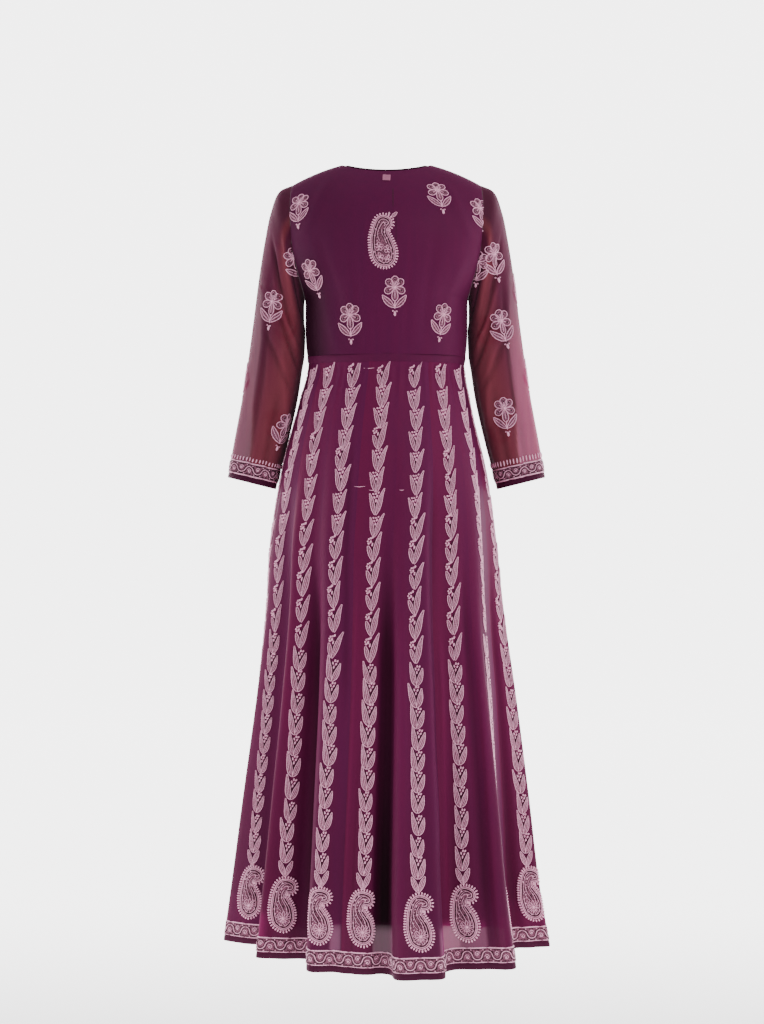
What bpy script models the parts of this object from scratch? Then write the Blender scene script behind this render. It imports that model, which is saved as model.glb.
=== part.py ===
"""Anarkali gown: an empire-line yoke, a skirt of sixteen flared kalis over a shorter lining, and long
loose sleeves, in the hollow form it has when it is worn.

Metres, +Z up. The front faces -Y, and the wearer's left is +X. The origin is midway between the two
high shoulder points, where the wearer's shoulders hold the gown.

Each cloth piece is one surface function of (across, down) and a wall. "Across" runs anticlockwise seen
from above, so that down x across points out of the garment.
"""

import math

import bmesh
import bpy
import numpy as np

# Lengths down from the high shoulder points
YOKE_END = -0.3297
SKIRT_TOP = -0.3423
LINING_END = -1.200
HEM_BACK = -1.350
HEM_SIDE_LIFT = 0.013

# Yoke
SHOULDER_HALF = 0.162
SHOULDER_DROP = 0.034
NECK_HALF = 0.0755
NECK_SHARE = NECK_HALF / SHOULDER_HALF
NECK_ROUNDNESS = 0.8
BACK_NECK_DROP = 0.0145
FRONT_NECK_DROP = 0.098
RIDGE_Y = 0.012
SHOULDER_ROUNDING = 0.13
SHOULDER_SOFTNESS = 0.75
UNDERARM = -0.2306
ARMHOLE_HALF_DEPTH = 0.060
TORSO_POWER = 2.3
ARMHOLE_FLATTENING = 0.25

# Skirt
KALIS = 16
KALI_TURN = 2 * math.pi / KALIS
MIDDLE_BACK = 4.07
HEM_TURNING = 0.0110
KALI_DRIFT = math.radians(15.5)
DRIFT_MIDDLE = 3.1
HEM_HALF_WIDTH = 0.272
HEM_HALF_DEPTH = 0.235

# Walls and seams
SHEER_WALL = 0.0015
LINED_WALL = 0.0020
LINING_WALL = 0.0012
SEAM_GAP = 0.0003
BINDING_RADIUS = 0.0013
BINDING_CLEARANCE = 0.0014
CUFF_TURNING_TOP = 0.9865
ARMHOLE_FADE = 0.41
LABEL_HALF_WIDTH = 0.0066
LABEL_TOP = -0.0235
LABEL_END = -0.0350
LABEL_WALL = 0.0010
DIFFERENCE_STEP = 1e-4
NECK_LOOK = 0.02

# Yoke sections: height, half width, depth of the back's middle, depth of the front's middle
YOKE_SECTIONS = (
    (0.000, 0.1620, 0.090, -0.070),
    (-0.034, 0.1620, 0.102, -0.080),
    (-0.060, 0.1640, 0.110, -0.085),
    (-0.100, 0.1635, 0.117, -0.096),
    (-0.143, 0.1605, 0.121, -0.112),
    (-0.190, 0.1505, 0.120, -0.129),
    (-0.2306, 0.1400, 0.116, -0.131),
    (-0.265, 0.1393, 0.111, -0.122),
    (-0.300, 0.1388, 0.106, -0.109),
    (-0.345, 0.1340, 0.103, -0.101),
)

# Skirt sections: height, middle's x, half width, half depth, how much of the kalis' drift sideways and
# of the hem's folds has come in, and how far inside the kalis the lining hangs
SKIRT_SECTIONS = (
    (-0.325, 0.0000, 0.1368, 0.1045, 0.00, 0.00, 0.0065),
    (-0.345, 0.0000, 0.1335, 0.1030, 0.00, 0.00, 0.0065),
    (-0.400, 0.0025, 0.1440, 0.1160, 0.06, 0.00, 0.0070),
    (-0.450, 0.0040, 0.1560, 0.1300, 0.16, 0.01, 0.0075),
    (-0.500, 0.0045, 0.1690, 0.1430, 0.27, 0.04, 0.0080),
    (-0.575, 0.0050, 0.1830, 0.1570, 0.41, 0.10, 0.0090),
    (-0.660, 0.0060, 0.1945, 0.1680, 0.55, 0.18, 0.0100),
    (-0.750, 0.0045, 0.2015, 0.1780, 0.66, 0.28, 0.0110),
    (-0.920, 0.0020, 0.2210, 0.1970, 0.80, 0.48, 0.0140),
    (-1.090, 0.0020, 0.2405, 0.2150, 0.90, 0.69, 0.0220),
    (-1.260, 0.0020, 0.2590, 0.2300, 0.97, 0.90, 0.0310),
    (-1.350, 0.0000, 0.2720, 0.2350, 1.00, 1.00, 0.0340),
)

# Hem folds, one row each, anticlockwise from the left side seam over the back: the kali coordinates where
# the pane between two folds starts and ends, its middle (x, y), its width, the way that it faces in
# degrees from straight back towards the right, how far it bows out, and how far the cloth between this
# pane and the next is tucked in.
FOLD_COLUMNS = ("start", "end", "x", "y", "width", "facing", "bow", "tuck")
FOLDS = (
    (0.64, 1.34, 0.2440, -0.008, 0.096, -36, 0.005, 0.010),
    (1.64, 2.34, 0.1790, 0.108, 0.084, -12, 0.008, 0.008),
    (2.56, 4.20, 0.0790, 0.196, 0.120, -26, 0.008, 0.018),
    (4.60, 5.38, -0.0530, 0.258, 0.086, 6, 0.014, 0.010),
    (5.58, 6.94, -0.1570, 0.205, 0.114, 6, 0.007, 0.010),
    (7.46, 8.34, -0.2450, 0.038, 0.080, 38, 0.006, 0.014),
    (8.58, 9.36, -0.2600, -0.085, 0.078, 101, 0.008, 0.024),
    (9.66, 10.42, -0.2020, -0.178, 0.084, 131, 0.010, 0.026),
    (10.74, 11.48, -0.1130, -0.229, 0.086, 158, 0.010, 0.028),
    (11.80, 12.74, -0.0080, -0.246, 0.100, 180, 0.012, 0.028),
    (13.04, 13.82, 0.0990, -0.231, 0.088, 204, 0.010, 0.026),
    (14.12, 14.88, 0.1920, -0.180, 0.084, 229, 0.010, 0.024),
    (15.18, 16.18, 0.2580, -0.098, 0.086, 256, 0.008, 0.020),
)

# Sleeve sections: share of the way down, outer edge (x, z), inner edge (x, z), half depth, middle's y
SLEEVE_SECTIONS = (
    (0.00, 0.1620, -0.0340, 0.1400, -0.2306, 0.0600, 0.000),
    (0.07, 0.1830, -0.0440, 0.1408, -0.2350, 0.0600, 0.000),
    (0.17, 0.1985, -0.0800, 0.1412, -0.2440, 0.0570, -0.001),
    (0.28, 0.2090, -0.1300, 0.1412, -0.2600, 0.0530, -0.002),
    (0.41, 0.2195, -0.1960, 0.1412, -0.2830, 0.0500, -0.003),
    (0.54, 0.2285, -0.2660, 0.1420, -0.3140, 0.0480, -0.004),
    (0.67, 0.2385, -0.3380, 0.1455, -0.3570, 0.0470, -0.005),
    (0.80, 0.2495, -0.4060, 0.1555, -0.4180, 0.0450, -0.008),
    (0.90, 0.2615, -0.4690, 0.1710, -0.4830, 0.0420, -0.011),
    (1.00, 0.2737, -0.5356, 0.1905, -0.5564, 0.0390, -0.014),
)

# Facets
KALI_COLUMNS = 8
KALI_ROWS = (-0.39, -0.44, -0.50, -0.575, -0.67, -0.79, -0.95, -1.12, -1.25)
SHOULDER_COLUMNS = 4
NECK_COLUMNS = 14
ARMHOLE_ROWS = 8
SIDE_SEAM_ROWS = 3
STRIP_COLUMNS = 18
LINING_COLUMNS = 40
LINING_ROWS = 9
SLEEVE_COLUMNS = 2 * ARMHOLE_ROWS
SLEEVE_ROWS = (0.0, 0.07, 0.17, 0.28, 0.41, 0.54, 0.67, 0.80, 0.90)
BINDING_SIDES = 6

# Finishes: base colour, roughness
FINISHES = {
    "lined_georgette": ((0.085, 0.010, 0.042), 0.62),
    "sheer_georgette": ((0.130, 0.022, 0.070), 0.58),
    "sleeve_georgette": ((0.170, 0.035, 0.090), 0.58),
    "lining_crepe": ((0.060, 0.006, 0.028), 0.50),
    "turning": ((0.070, 0.012, 0.036), 0.60),
    "binding": ((0.035, 0.004, 0.016), 0.55),
    "label_satin": ((0.400, 0.130, 0.230), 0.40),
}


def curve_through(knots, values, at):
    """A smooth curve through values at knots, read at the places given, with Catmull-Rom tangents."""
    knots = np.asarray(knots, float)
    values = np.asarray(values, float).reshape(len(knots), -1)
    at = np.asarray(at, float)
    slopes = np.gradient(values, knots, axis=0)
    index = np.clip(np.searchsorted(knots, at, side="right") - 1, 0, len(knots) - 2)
    span = knots[index + 1] - knots[index]
    t = np.clip((at - knots[index]) / span, 0.0, 1.0)[..., None]
    span = span[..., None]
    return (
        (2 * t**3 - 3 * t**2 + 1) * values[index]
        + (t**3 - 2 * t**2 + t) * span * slopes[index]
        + (3 * t**2 - 2 * t**3) * values[index + 1]
        + (t**3 - t**2) * span * slopes[index + 1]
    )


def read_sections(table, height):
    """The columns of a section table at a height. Its first column runs downwards."""
    rows = np.array(table)
    return np.moveaxis(curve_through(-rows[:, 0], rows[:, 1:], -np.asarray(height, float)), -1, 0)


def hem_knots():
    """Kali coordinates and (x, y) of the points that the hem passes through: the start, middle and end of
    each pane, and the tuck after it."""
    places, points = [], []
    folds = [dict(zip(FOLD_COLUMNS, row)) for row in FOLDS]
    for fold in folds:
        facing = math.radians(fold["facing"])
        middle = np.array((fold["x"], fold["y"]))
        along = np.array((-math.cos(facing), -math.sin(facing)))
        out = np.array((-math.sin(facing), math.cos(facing)))
        fold["first"] = middle - along * fold["width"] / 2
        fold["last"] = middle + along * fold["width"] / 2
        fold["crest"] = middle + out * fold["bow"]
    for fold, following in zip(folds, folds[1:] + folds[:1]):
        next_start = following["start"] + (KALIS if following is folds[0] else 0)
        between = (fold["last"] + following["first"]) / 2
        tuck = between * (1 - fold["tuck"] / np.linalg.norm(between))
        places += [fold["start"], (fold["start"] + fold["end"]) / 2]
        places += [fold["end"], (fold["end"] + next_start) / 2]
        points += [fold["first"], fold["crest"], fold["last"], tuck]
    return np.array(places), np.array(points)


def hem_plan(kali):
    """The hem's (x, y) at a kali coordinate. The curve closes on itself after KALIS."""
    places, points = hem_knots()
    wrap = 3  # knots repeated past each end, so that the curve closes smoothly
    places = np.concatenate((places[-wrap:] - KALIS, places, places[:wrap] + KALIS))
    points = np.concatenate((points[-wrap:], points, points[:wrap]))
    first = places[wrap]
    return curve_through(places, points, first + (np.asarray(kali, float) - first) % KALIS)


def ellipse(turn, half_width, half_depth):
    """(x, y) on an ellipse, turned from the middle of the back towards the wearer's right."""
    return np.stack((-half_width * np.sin(turn), half_depth * np.cos(turn)), -1)


def skirt(kali, down):
    """The skirt's outer face. Down is 0 at the waist strip and 1 at the hem."""
    kali, down = np.broadcast_arrays(np.asarray(kali, float), np.asarray(down, float))
    turn = (kali - MIDDLE_BACK) * KALI_TURN
    drift = -KALI_DRIFT * np.sin((kali - DRIFT_MIDDLE) * KALI_TURN)
    hem_height = HEM_BACK + HEM_SIDE_LIFT * np.sin(turn) ** 2
    height = SKIRT_TOP + (hem_height - SKIRT_TOP) * down
    even = SKIRT_TOP + (HEM_BACK - SKIRT_TOP) * down
    middle, half_width, half_depth, drifted, folded = read_sections(SKIRT_SECTIONS, even)[:5]
    fold = hem_plan(kali) - ellipse(turn + drift, HEM_HALF_WIDTH, HEM_HALF_DEPTH)
    across = ellipse(turn + drift * drifted, half_width, half_depth) + fold * folded[..., None]
    across[..., 0] += middle
    return np.concatenate((across, height[..., None]), -1)


def skirt_share(height):
    """The share of the way down the skirt for a height at the middle of the back."""
    return (height - SKIRT_TOP) / (HEM_BACK - SKIRT_TOP)


def waist_strip(turns, down):
    """The outer face of the strip between yoke and skirt. Turns is 0 at the left side, 0.5 at the right."""
    turns, down = np.broadcast_arrays(np.asarray(turns, float), np.asarray(down, float))
    height = YOKE_END - SEAM_GAP + (SKIRT_TOP + SEAM_GAP - YOKE_END + SEAM_GAP) * down
    half_width, half_depth = read_sections(SKIRT_SECTIONS, height)[1:3]
    across = ellipse((2 * turns - 0.5) * math.pi, half_width + SEAM_GAP, half_depth + SEAM_GAP)
    return np.concatenate((across, height[..., None]), -1)


def lining(kali, down):
    """The outer face of the skirt's lining, which falls in the kalis' folds and ends above their hem."""
    kali, down = np.broadcast_arrays(np.asarray(kali, float), np.asarray(down, float))
    points = skirt(kali, down * skirt_share(LINING_END))
    inset = read_sections(SKIRT_SECTIONS, points[..., 2])[5]
    across = points[..., :2]
    across *= (1 - inset / np.linalg.norm(across, axis=-1))[..., None]
    return points


def armhole_depth(height):
    """How far the armhole's edge stands from the side at a height, nothing at the shoulder or underarm."""
    middle = (UNDERARM - SHOULDER_DROP) / 2
    share = np.clip((height - middle) / ((-SHOULDER_DROP - UNDERARM) / 2), -1, 1)
    return ARMHOLE_HALF_DEPTH * np.sqrt(1 - share**2)


def yoke(side, down, back):
    """The yoke's outer face, back or front. Side is -1 at the left edge of the back and at the right edge
    of the front, so that it runs anticlockwise. Down is 0 at the shoulder and neck, 1 at the waist strip.
    A ridge runs over the shoulders, the cloth rounds off from it, and the neckline cuts into that."""
    side, down = np.broadcast_arrays(np.asarray(side, float), np.asarray(down, float))
    ridge = SHOULDER_DROP * (NECK_SHARE**2 - side**2) / (1 - NECK_SHARE**2)
    inside = np.clip(1 - (side / NECK_SHARE) ** 2, 0, 1)
    neckline = -(BACK_NECK_DROP if back else FRONT_NECK_DROP) * inside**NECK_ROUNDNESS
    top = np.where(inside > 0, neckline, ridge)
    height = top + (YOKE_END - top) * down

    half_width, back_depth, front_depth = read_sections(YOKE_SECTIONS, height)
    edge = armhole_depth(-SHOULDER_DROP + (YOKE_END + SHOULDER_DROP) * (ridge - height) / (ridge - YOKE_END))
    flatter = ARMHOLE_FLATTENING * edge / ARMHOLE_HALF_DEPTH
    bulge = np.clip(1 - np.abs(side) ** TORSO_POWER, 0, 1) ** (0.5 + flatter)
    fall = np.clip((ridge - height) / SHOULDER_ROUNDING, 0, 1)
    rounded = (1 - (1 - fall) ** 2) ** SHOULDER_SOFTNESS
    if back:
        depth = edge * (1 - bulge) + bulge * (RIDGE_Y + (back_depth - RIDGE_Y) * rounded)
        return np.stack((-side * half_width, depth, height), -1)
    depth = -edge * (1 - bulge) + bulge * (RIDGE_Y + (front_depth - RIDGE_Y) * rounded)
    return np.stack((side * half_width, depth, height), -1)


def sleeve(round_turns, down, hand):
    """A sleeve's outer face. Round is 0 at its outer edge. Hand is 1 on the left and -1 on the right."""
    round_turns, down = np.broadcast_arrays(np.asarray(round_turns, float), np.asarray(down, float))
    rows = np.array(SLEEVE_SECTIONS)
    read = np.moveaxis(curve_through(rows[:, 0], rows[:, 1:], down), -1, 0)
    outer_x, outer_z, inner_x, inner_z, half_depth, middle_y = read
    angle = 2 * math.pi * round_turns * hand
    share = (1 + np.cos(angle)) / 2
    x = inner_x + (outer_x - inner_x) * share
    z = inner_z + (outer_z - inner_z) * share
    armhole_z = UNDERARM + (-SHOULDER_DROP - UNDERARM) * share
    armhole_x = read_sections(YOKE_SECTIONS, armhole_z)[0]
    straight = UNDERARM_X + (SHOULDER_HALF - UNDERARM_X) * share
    fade = np.clip(1 - down / ARMHOLE_FADE, 0, 1) ** 2
    x = x + (armhole_x - straight) * fade + SEAM_GAP
    y = middle_y + half_depth * np.sin(angle)
    return np.stack((hand * x, y, z), -1)


UNDERARM_X = float(read_sections(YOKE_SECTIONS, UNDERARM)[0])
ARMHOLE_MIDDLE = np.array((0, 0, (UNDERARM - SHOULDER_DROP) / 2))


def tangents(surface, across, down):
    """The surface's directions along and down at each place."""
    step = DIFFERENCE_STEP
    along = surface(across + step, down) - surface(across - step, down)
    descent = surface(across, down + step) - surface(across, down - step)
    return along, descent


def unit(vectors):
    return vectors / np.linalg.norm(vectors, axis=-1, keepdims=True)


def wall_directions(surface, across, down, seams):
    """Unit vectors that point out of the garment, through the wall. A seam gives its places, the way that
    it runs and the axis across it: there the wall stands in the seam's plane, so that two pieces meet
    squarely."""
    along, descent = tangents(surface, across, down)
    normal = unit(np.cross(descent, along))
    points = surface(across, down)
    for places, runs_down, axis in seams:
        where = places(across, down)
        in_plane = unit(np.cross((descent if runs_down else along)[where], axis))
        away = np.sum(in_plane * (points[where] - ARMHOLE_MIDDLE), -1, keepdims=True)
        normal[where] = in_plane * np.sign(away)
    return normal


def part_edges(grid, gap, rows=False):
    """Draws the first and last columns, or rows, of a grid of points in by a gap."""
    grid = np.swapaxes(grid, 0, 1) if rows else grid
    for edge, inner in ((0, 1), (-1, -2)):
        step = grid[inner] - grid[edge]
        grid[edge] = grid[edge] + step * (gap / np.linalg.norm(step, axis=-1, keepdims=True))
    return np.swapaxes(grid, 0, 1) if rows else grid


def finish_material(finish):
    """The Principled material of a finish."""
    material = bpy.data.materials.get(finish)
    if material is None:
        colour, roughness = FINISHES[finish]
        material = bpy.data.materials.new(finish)
        material.use_nodes = True
        shader = material.node_tree.nodes["Principled BSDF"]
        shader.inputs["Base Color"].default_value = (*colour, 1)
        shader.inputs["Roughness"].default_value = roughness
        shader.inputs["Metallic"].default_value = 0.0
    return material


def add_object(name, points, faces, finish):
    """One closed mesh object whose faces point out."""
    mesh = bpy.data.meshes.new(name)
    mesh.from_pydata([tuple(p) for p in points], [], faces)
    shape = bmesh.new()
    shape.from_mesh(mesh)
    bmesh.ops.recalc_face_normals(shape, faces=shape.faces)
    shape.to_mesh(mesh)
    shape.free()
    mesh.shade_smooth()
    mesh.materials.append(finish_material(finish))
    part = bpy.data.objects.new(name, mesh)
    bpy.context.scene.collection.objects.link(part)
    return part


def cloth_piece(name, surface, across, down, wall, finish, closed=False, lift=0.0, seams=()):
    """A wall of cloth between two grids of points. Lift moves its inner face out from the surface."""
    u, v = np.meshgrid(across, down, indexing="ij")
    normal = wall_directions(surface, u, v, seams)
    outer = surface(u, v)
    if lift:
        outer = outer + normal * (lift + wall)
    if not closed:
        outer = part_edges(outer, SEAM_GAP / 2)
    outer = part_edges(outer, SEAM_GAP / 2, rows=True)
    inner = outer - normal * wall
    columns, rows = outer.shape[:2]
    points = np.concatenate((outer.reshape(-1, 3), inner.reshape(-1, 3)))

    def at(i, j, inside=0):
        return inside * columns * rows + (i % columns) * rows + j

    faces = []
    spans = columns if closed else columns - 1
    for i in range(spans):
        for j in range(rows - 1):
            faces.append((at(i, j), at(i, j + 1), at(i + 1, j + 1), at(i + 1, j)))
            faces.append((at(i, j, 1), at(i + 1, j, 1), at(i + 1, j + 1, 1), at(i, j + 1, 1)))
        for j in (0, rows - 1):
            faces.append((at(i, j), at(i + 1, j), at(i + 1, j, 1), at(i, j, 1)))
    if not closed:
        for j in range(rows - 1):
            for i in (0, columns - 1):
                faces.append((at(i, j), at(i, j + 1), at(i, j + 1, 1), at(i, j, 1)))
    return add_object(name, points, faces, finish)


def neck_columns():
    """Places across the neck opening, from one high shoulder point to the other."""
    return -NECK_SHARE * np.cos(np.linspace(0, math.pi, NECK_COLUMNS + 1))


def make_yoke():
    """The lined back and front of the yoke."""
    shoulder = np.linspace(1, NECK_SHARE, SHOULDER_COLUMNS, endpoint=False)
    side = np.concatenate((-shoulder, neck_columns(), shoulder[::-1]))
    underarm = (UNDERARM + SHOULDER_DROP) / (YOKE_END + SHOULDER_DROP)
    armhole = underarm * (1 - np.cos(np.linspace(0, math.pi, ARMHOLE_ROWS + 1))) / 2
    down = np.concatenate((armhole, np.linspace(underarm, 1, SIDE_SEAM_ROWS + 1)[1:]))

    def shoulder_seam(u, v):
        return (v == 0) & (np.abs(u) > NECK_SHARE - DIFFERENCE_STEP)

    def armhole_seam(u, v):
        return (np.abs(u) == 1) & (v > 0) & (v < underarm - DIFFERENCE_STEP)

    for name, back in (("yoke_back", True), ("yoke_front", False)):
        cloth_piece(
            name, lambda s, d, back=back: yoke(np.clip(s, -1, 1), d, back), side, down, LINED_WALL,
            "lined_georgette", seams=((shoulder_seam, False, (0, 1, 0)), (armhole_seam, True, (1, 0, 0))),
        )


def make_waist_strips():
    """The plain strip that joins the yoke to the skirt, in two halves that meet at the side seams."""
    for name, first in (("waist_strip_back", 0.0), ("waist_strip_front", 0.5)):
        across = np.linspace(first, first + 0.5, STRIP_COLUMNS + 1)
        cloth_piece(name, waist_strip, across, np.array((0.0, 1.0)), LINED_WALL, "lined_georgette")


def make_kalis():
    """Sixteen flared panels, each with its garland's line down the middle."""
    rows = [0.0, *(skirt_share(height) for height in KALI_ROWS)]
    rows.append(1 - HEM_TURNING / (SKIRT_TOP - HEM_BACK))
    for number in range(1, KALIS + 1):
        across = number + np.linspace(-0.5, 0.5, KALI_COLUMNS + 1)
        cloth_piece(f"kali_{number:02d}", skirt, across, np.array(rows), SHEER_WALL, "sheer_georgette")


def make_hem_turning():
    """The plain double strip at the hem, in four stretches of four kalis."""
    top = 1 - HEM_TURNING / (SKIRT_TOP - HEM_BACK)
    stretch = KALIS // 4
    for number in range(4):
        first = 0.5 + stretch * number
        across = np.linspace(first, first + stretch, stretch * KALI_COLUMNS + 1)
        cloth_piece(
            f"hem_turning_{number + 1}", skirt, across, np.array((top, 1.0)), SHEER_WALL, "turning"
        )


def make_lining():
    """The opaque slip under the skirt, in two halves that meet at the side seams."""
    down = np.linspace(0, 1, LINING_ROWS + 1)
    for name, first in (("lining_back", 0.0), ("lining_front", KALIS / 2)):
        across = first + np.linspace(0, KALIS / 2, LINING_COLUMNS + 1)
        cloth_piece(name, lining, across, down, LINING_WALL, "lining_crepe")


def make_sleeves():
    """Two loose sleeves, each a tube, with the plain double strip round its cuff."""
    around = np.arange(SLEEVE_COLUMNS) / SLEEVE_COLUMNS
    down = np.array((*SLEEVE_ROWS, CUFF_TURNING_TOP))
    for side, hand in (("left", 1), ("right", -1)):
        def tube(u, v, hand=hand):
            return sleeve(u, v, hand)

        cloth_piece(
            f"sleeve_{side}", tube, around, down, SHEER_WALL, "sleeve_georgette", closed=True,
            seams=((lambda u, v: v == 0, False, (1, 0, 0)),),
        )
        cloth_piece(
            f"cuff_turning_{side}", tube, around, np.array((CUFF_TURNING_TOP, 1.0)), SHEER_WALL,
            "turning", closed=True,
        )


def neck_edge():
    """Points round the middle of the neckline's wall, with the way through the wall and the way down into
    the cloth at each."""
    edge, through, into = [], [], []
    for back in (True, False):
        side = neck_columns()[:-1]
        points = yoke(side, 0 * side, back)
        descent = yoke(side, 0 * side + NECK_LOOK, back) - points
        edge.append(points)
        into.append(descent)
        through.append(unit(np.cross(descent, np.gradient(points, axis=0))))
    edge, through, into = (np.concatenate(values) for values in (edge, through, into))
    return edge - through * LINED_WALL / 2, through, into


def make_neck_binding():
    """A thin round binding along the neck's edge."""
    edge, through, into = neck_edge()
    along = unit(np.roll(edge, -1, axis=0) - np.roll(edge, 1, axis=0))
    up = -unit(into - along * np.sum(into * along, -1, keepdims=True))
    wall = LINED_WALL / 2 * np.abs(np.sum(up * through, -1, keepdims=True))
    centre = edge + up * (BINDING_RADIUS + BINDING_CLEARANCE + wall)
    along = unit(np.roll(centre, -1, axis=0) - np.roll(centre, 1, axis=0))
    side = unit(np.cross(along, up))
    up = unit(np.cross(side, along))
    count = len(centre)
    points = []
    for step in range(BINDING_SIDES):
        angle = 2 * math.pi * step / BINDING_SIDES
        points.append(centre + BINDING_RADIUS * (math.cos(angle) * up + math.sin(angle) * side))
    points = np.stack(points, 1).reshape(-1, 3)
    faces = []
    for i in range(count):
        for j in range(BINDING_SIDES):
            after, beside = (i + 1) % count, (j + 1) % BINDING_SIDES
            faces.append((
                i * BINDING_SIDES + j,
                i * BINDING_SIDES + beside,
                after * BINDING_SIDES + beside,
                after * BINDING_SIDES + j,
            ))
    add_object("neck_binding", points, faces, "binding")


def make_label():
    """A small bare label, sewn flat to the back under the neck."""
    side = np.linspace(-1, 1, 3) * LABEL_HALF_WIDTH / SHOULDER_HALF
    down = (np.linspace(LABEL_TOP, LABEL_END, 3) + BACK_NECK_DROP) / (YOKE_END + BACK_NECK_DROP)
    cloth_piece(
        "neck_label", lambda s, d: yoke(s, d, True), side, down, LABEL_WALL, "label_satin", lift=SEAM_GAP
    )


for old in list(bpy.data.objects):
    bpy.data.objects.remove(old, do_unlink=True)
make_yoke()
make_waist_strips()
make_neck_binding()
make_label()
make_kalis()
make_hem_turning()
make_lining()
make_sleeves()
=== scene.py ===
"""Anarkali gown: its looks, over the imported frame.

Metres, +Z up. The front faces -Y, and +X is the wearer's left.
"""

import math

import bpy
import numpy as np
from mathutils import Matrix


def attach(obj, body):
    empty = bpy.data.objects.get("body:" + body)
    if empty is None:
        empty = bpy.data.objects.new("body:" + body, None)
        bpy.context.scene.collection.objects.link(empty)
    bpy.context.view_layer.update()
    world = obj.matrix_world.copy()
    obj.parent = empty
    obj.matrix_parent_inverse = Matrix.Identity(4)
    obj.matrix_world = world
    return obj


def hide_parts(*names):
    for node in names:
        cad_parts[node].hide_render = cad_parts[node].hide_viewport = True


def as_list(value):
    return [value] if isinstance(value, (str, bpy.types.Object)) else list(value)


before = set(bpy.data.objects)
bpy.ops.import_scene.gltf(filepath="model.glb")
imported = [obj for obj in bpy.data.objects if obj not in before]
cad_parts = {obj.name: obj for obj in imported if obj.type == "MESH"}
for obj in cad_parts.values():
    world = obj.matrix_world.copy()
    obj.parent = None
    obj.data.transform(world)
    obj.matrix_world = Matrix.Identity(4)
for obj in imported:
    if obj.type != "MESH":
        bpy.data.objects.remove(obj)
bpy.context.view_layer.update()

# ---- The room ------------------------------------------------------------------------------------
# A pale round studio with no corner: the floor sweeps up into the wall, and the paper glows of itself,
# most strongly behind the gown and fading out towards the camera. Soft lights stand on both sides of the
# camera, and daylight comes in from above.

ROOM_RADIUS = 8.5
ROOM_SWEEP = 3.0
SWEEP_STEPS = 16
ROOM_HEIGHT = 6.0
SPOKES = 96
FLOOR_DROP = 1.438
PAPER_GLOW = 4.5
GLOW_START = -1.2
GLOW_END = 2.2
EYE = (0.0077, 4.16, -0.5953)
LENS = 85.0
AIM = (0.0, 0.0, -0.65)


def added(name, data):
    """An object of a mesh, light or camera, added to the scene."""
    thing = bpy.data.objects.new(name, data)
    bpy.context.scene.collection.objects.link(thing)
    return thing


def smooth_mesh(name, points, faces, *materials):
    """A smooth-shaded mesh."""
    mesh = bpy.data.meshes.new(name)
    mesh.from_pydata(points, [], faces)
    mesh.shade_smooth()
    for material in materials:
        mesh.materials.append(material)
    return mesh


def set_inputs(tree, node, values):
    """Sets a node's inputs by their names or numbers. A value that is another node's output is linked."""
    for name, value in values.items():
        if isinstance(value, bpy.types.NodeSocket):
            tree.links.new(value, node.inputs[name])
        else:
            node.inputs[name].default_value = value


def add_node(tree, kind, values=None, out=0, **settings):
    """Adds a shader node with its inputs and settings, and gives one of its outputs."""
    node = tree.nodes.new("ShaderNode" + kind)
    for setting, value in settings.items():
        setattr(node, setting, value)
    set_inputs(tree, node, values or {})
    return node.outputs[out]


def new_material(name):
    """A new material, its node tree and its shader."""
    material = bpy.data.materials.new(name)
    material.use_nodes = True
    return material, material.node_tree, material.node_tree.nodes["Principled BSDF"]


paper, tree, shader = new_material("studio_paper")
way_back = add_node(tree, "SeparateXYZ", {0: add_node(tree, "TexCoord", out="Object")}, out="Y")
# The paper's own glow: emission strongest behind the gown and none in front of it
glow = add_node(tree, "MapRange", {
    "Value": way_back, "From Min": GLOW_START, "From Max": GLOW_END, "To Min": PAPER_GLOW, "To Max": 0.0,
}, interpolation_type="SMOOTHSTEP")
set_inputs(tree, shader, {
    "Base Color": (0.20, 0.20, 0.20, 1), "Roughness": 0.9, "Specular IOR Level": 0.1,
    "Emission Color": (1.0, 0.985, 0.99, 1), "Emission Strength": glow,
})

profile = [(ROOM_RADIUS - ROOM_SWEEP, 0.0)]
for step in range(1, SWEEP_STEPS + 1):
    angle = step / SWEEP_STEPS * math.pi / 2
    profile.append((
        ROOM_RADIUS - ROOM_SWEEP + ROOM_SWEEP * math.sin(angle),
        ROOM_SWEEP - ROOM_SWEEP * math.cos(angle),
    ))
profile.append((ROOM_RADIUS, ROOM_HEIGHT))
room_points, room_faces = [], []
for radius, height in profile:
    for spoke in range(SPOKES):
        turn = 2 * math.pi * spoke / SPOKES
        room_points.append((radius * math.cos(turn), radius * math.sin(turn), height - FLOOR_DROP))
for ring in range(len(profile) - 1):
    for spoke in range(SPOKES):
        after = (spoke + 1) % SPOKES
        low, high = ring * SPOKES, (ring + 1) * SPOKES
        room_faces.append((low + spoke, high + spoke, high + after, low + after))
room_faces.append(tuple(range(SPOKES)))
studio = added("studio", smooth_mesh("studio", room_points, room_faces, paper))

world = bpy.data.worlds.new("daylight")
world.use_nodes = True
tree = world.node_tree
set_inputs(tree, tree.nodes["Background"], {"Color": (0.98, 0.98, 1.0, 1), "Strength": 0.55})
bpy.context.scene.world = world

# Name, place, size and power of each soft light
for name, place, size, power in (
    ("key_light", (-3.2, 4.6, 2.6), 3.0, 265.0),
    ("fill_light", (4.0, 3.8, 1.2), 3.0, 80.0),
):
    light = bpy.data.lights.new(name, "AREA")
    light.size = size
    light.energy = power
    lamp = added(name, light)
    lamp.location = place
    away = np.array(place) - np.array(AIM)
    lamp.rotation_euler = (math.acos(away[2] / np.linalg.norm(away)), 0, math.atan2(away[0], -away[1]))

lens = bpy.data.cameras.new("camera")
lens.lens = LENS
camera = added("camera", lens)
camera.location = EYE
camera.rotation_euler = (math.pi / 2, 0, math.pi)
bpy.context.scene.camera = camera

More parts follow.
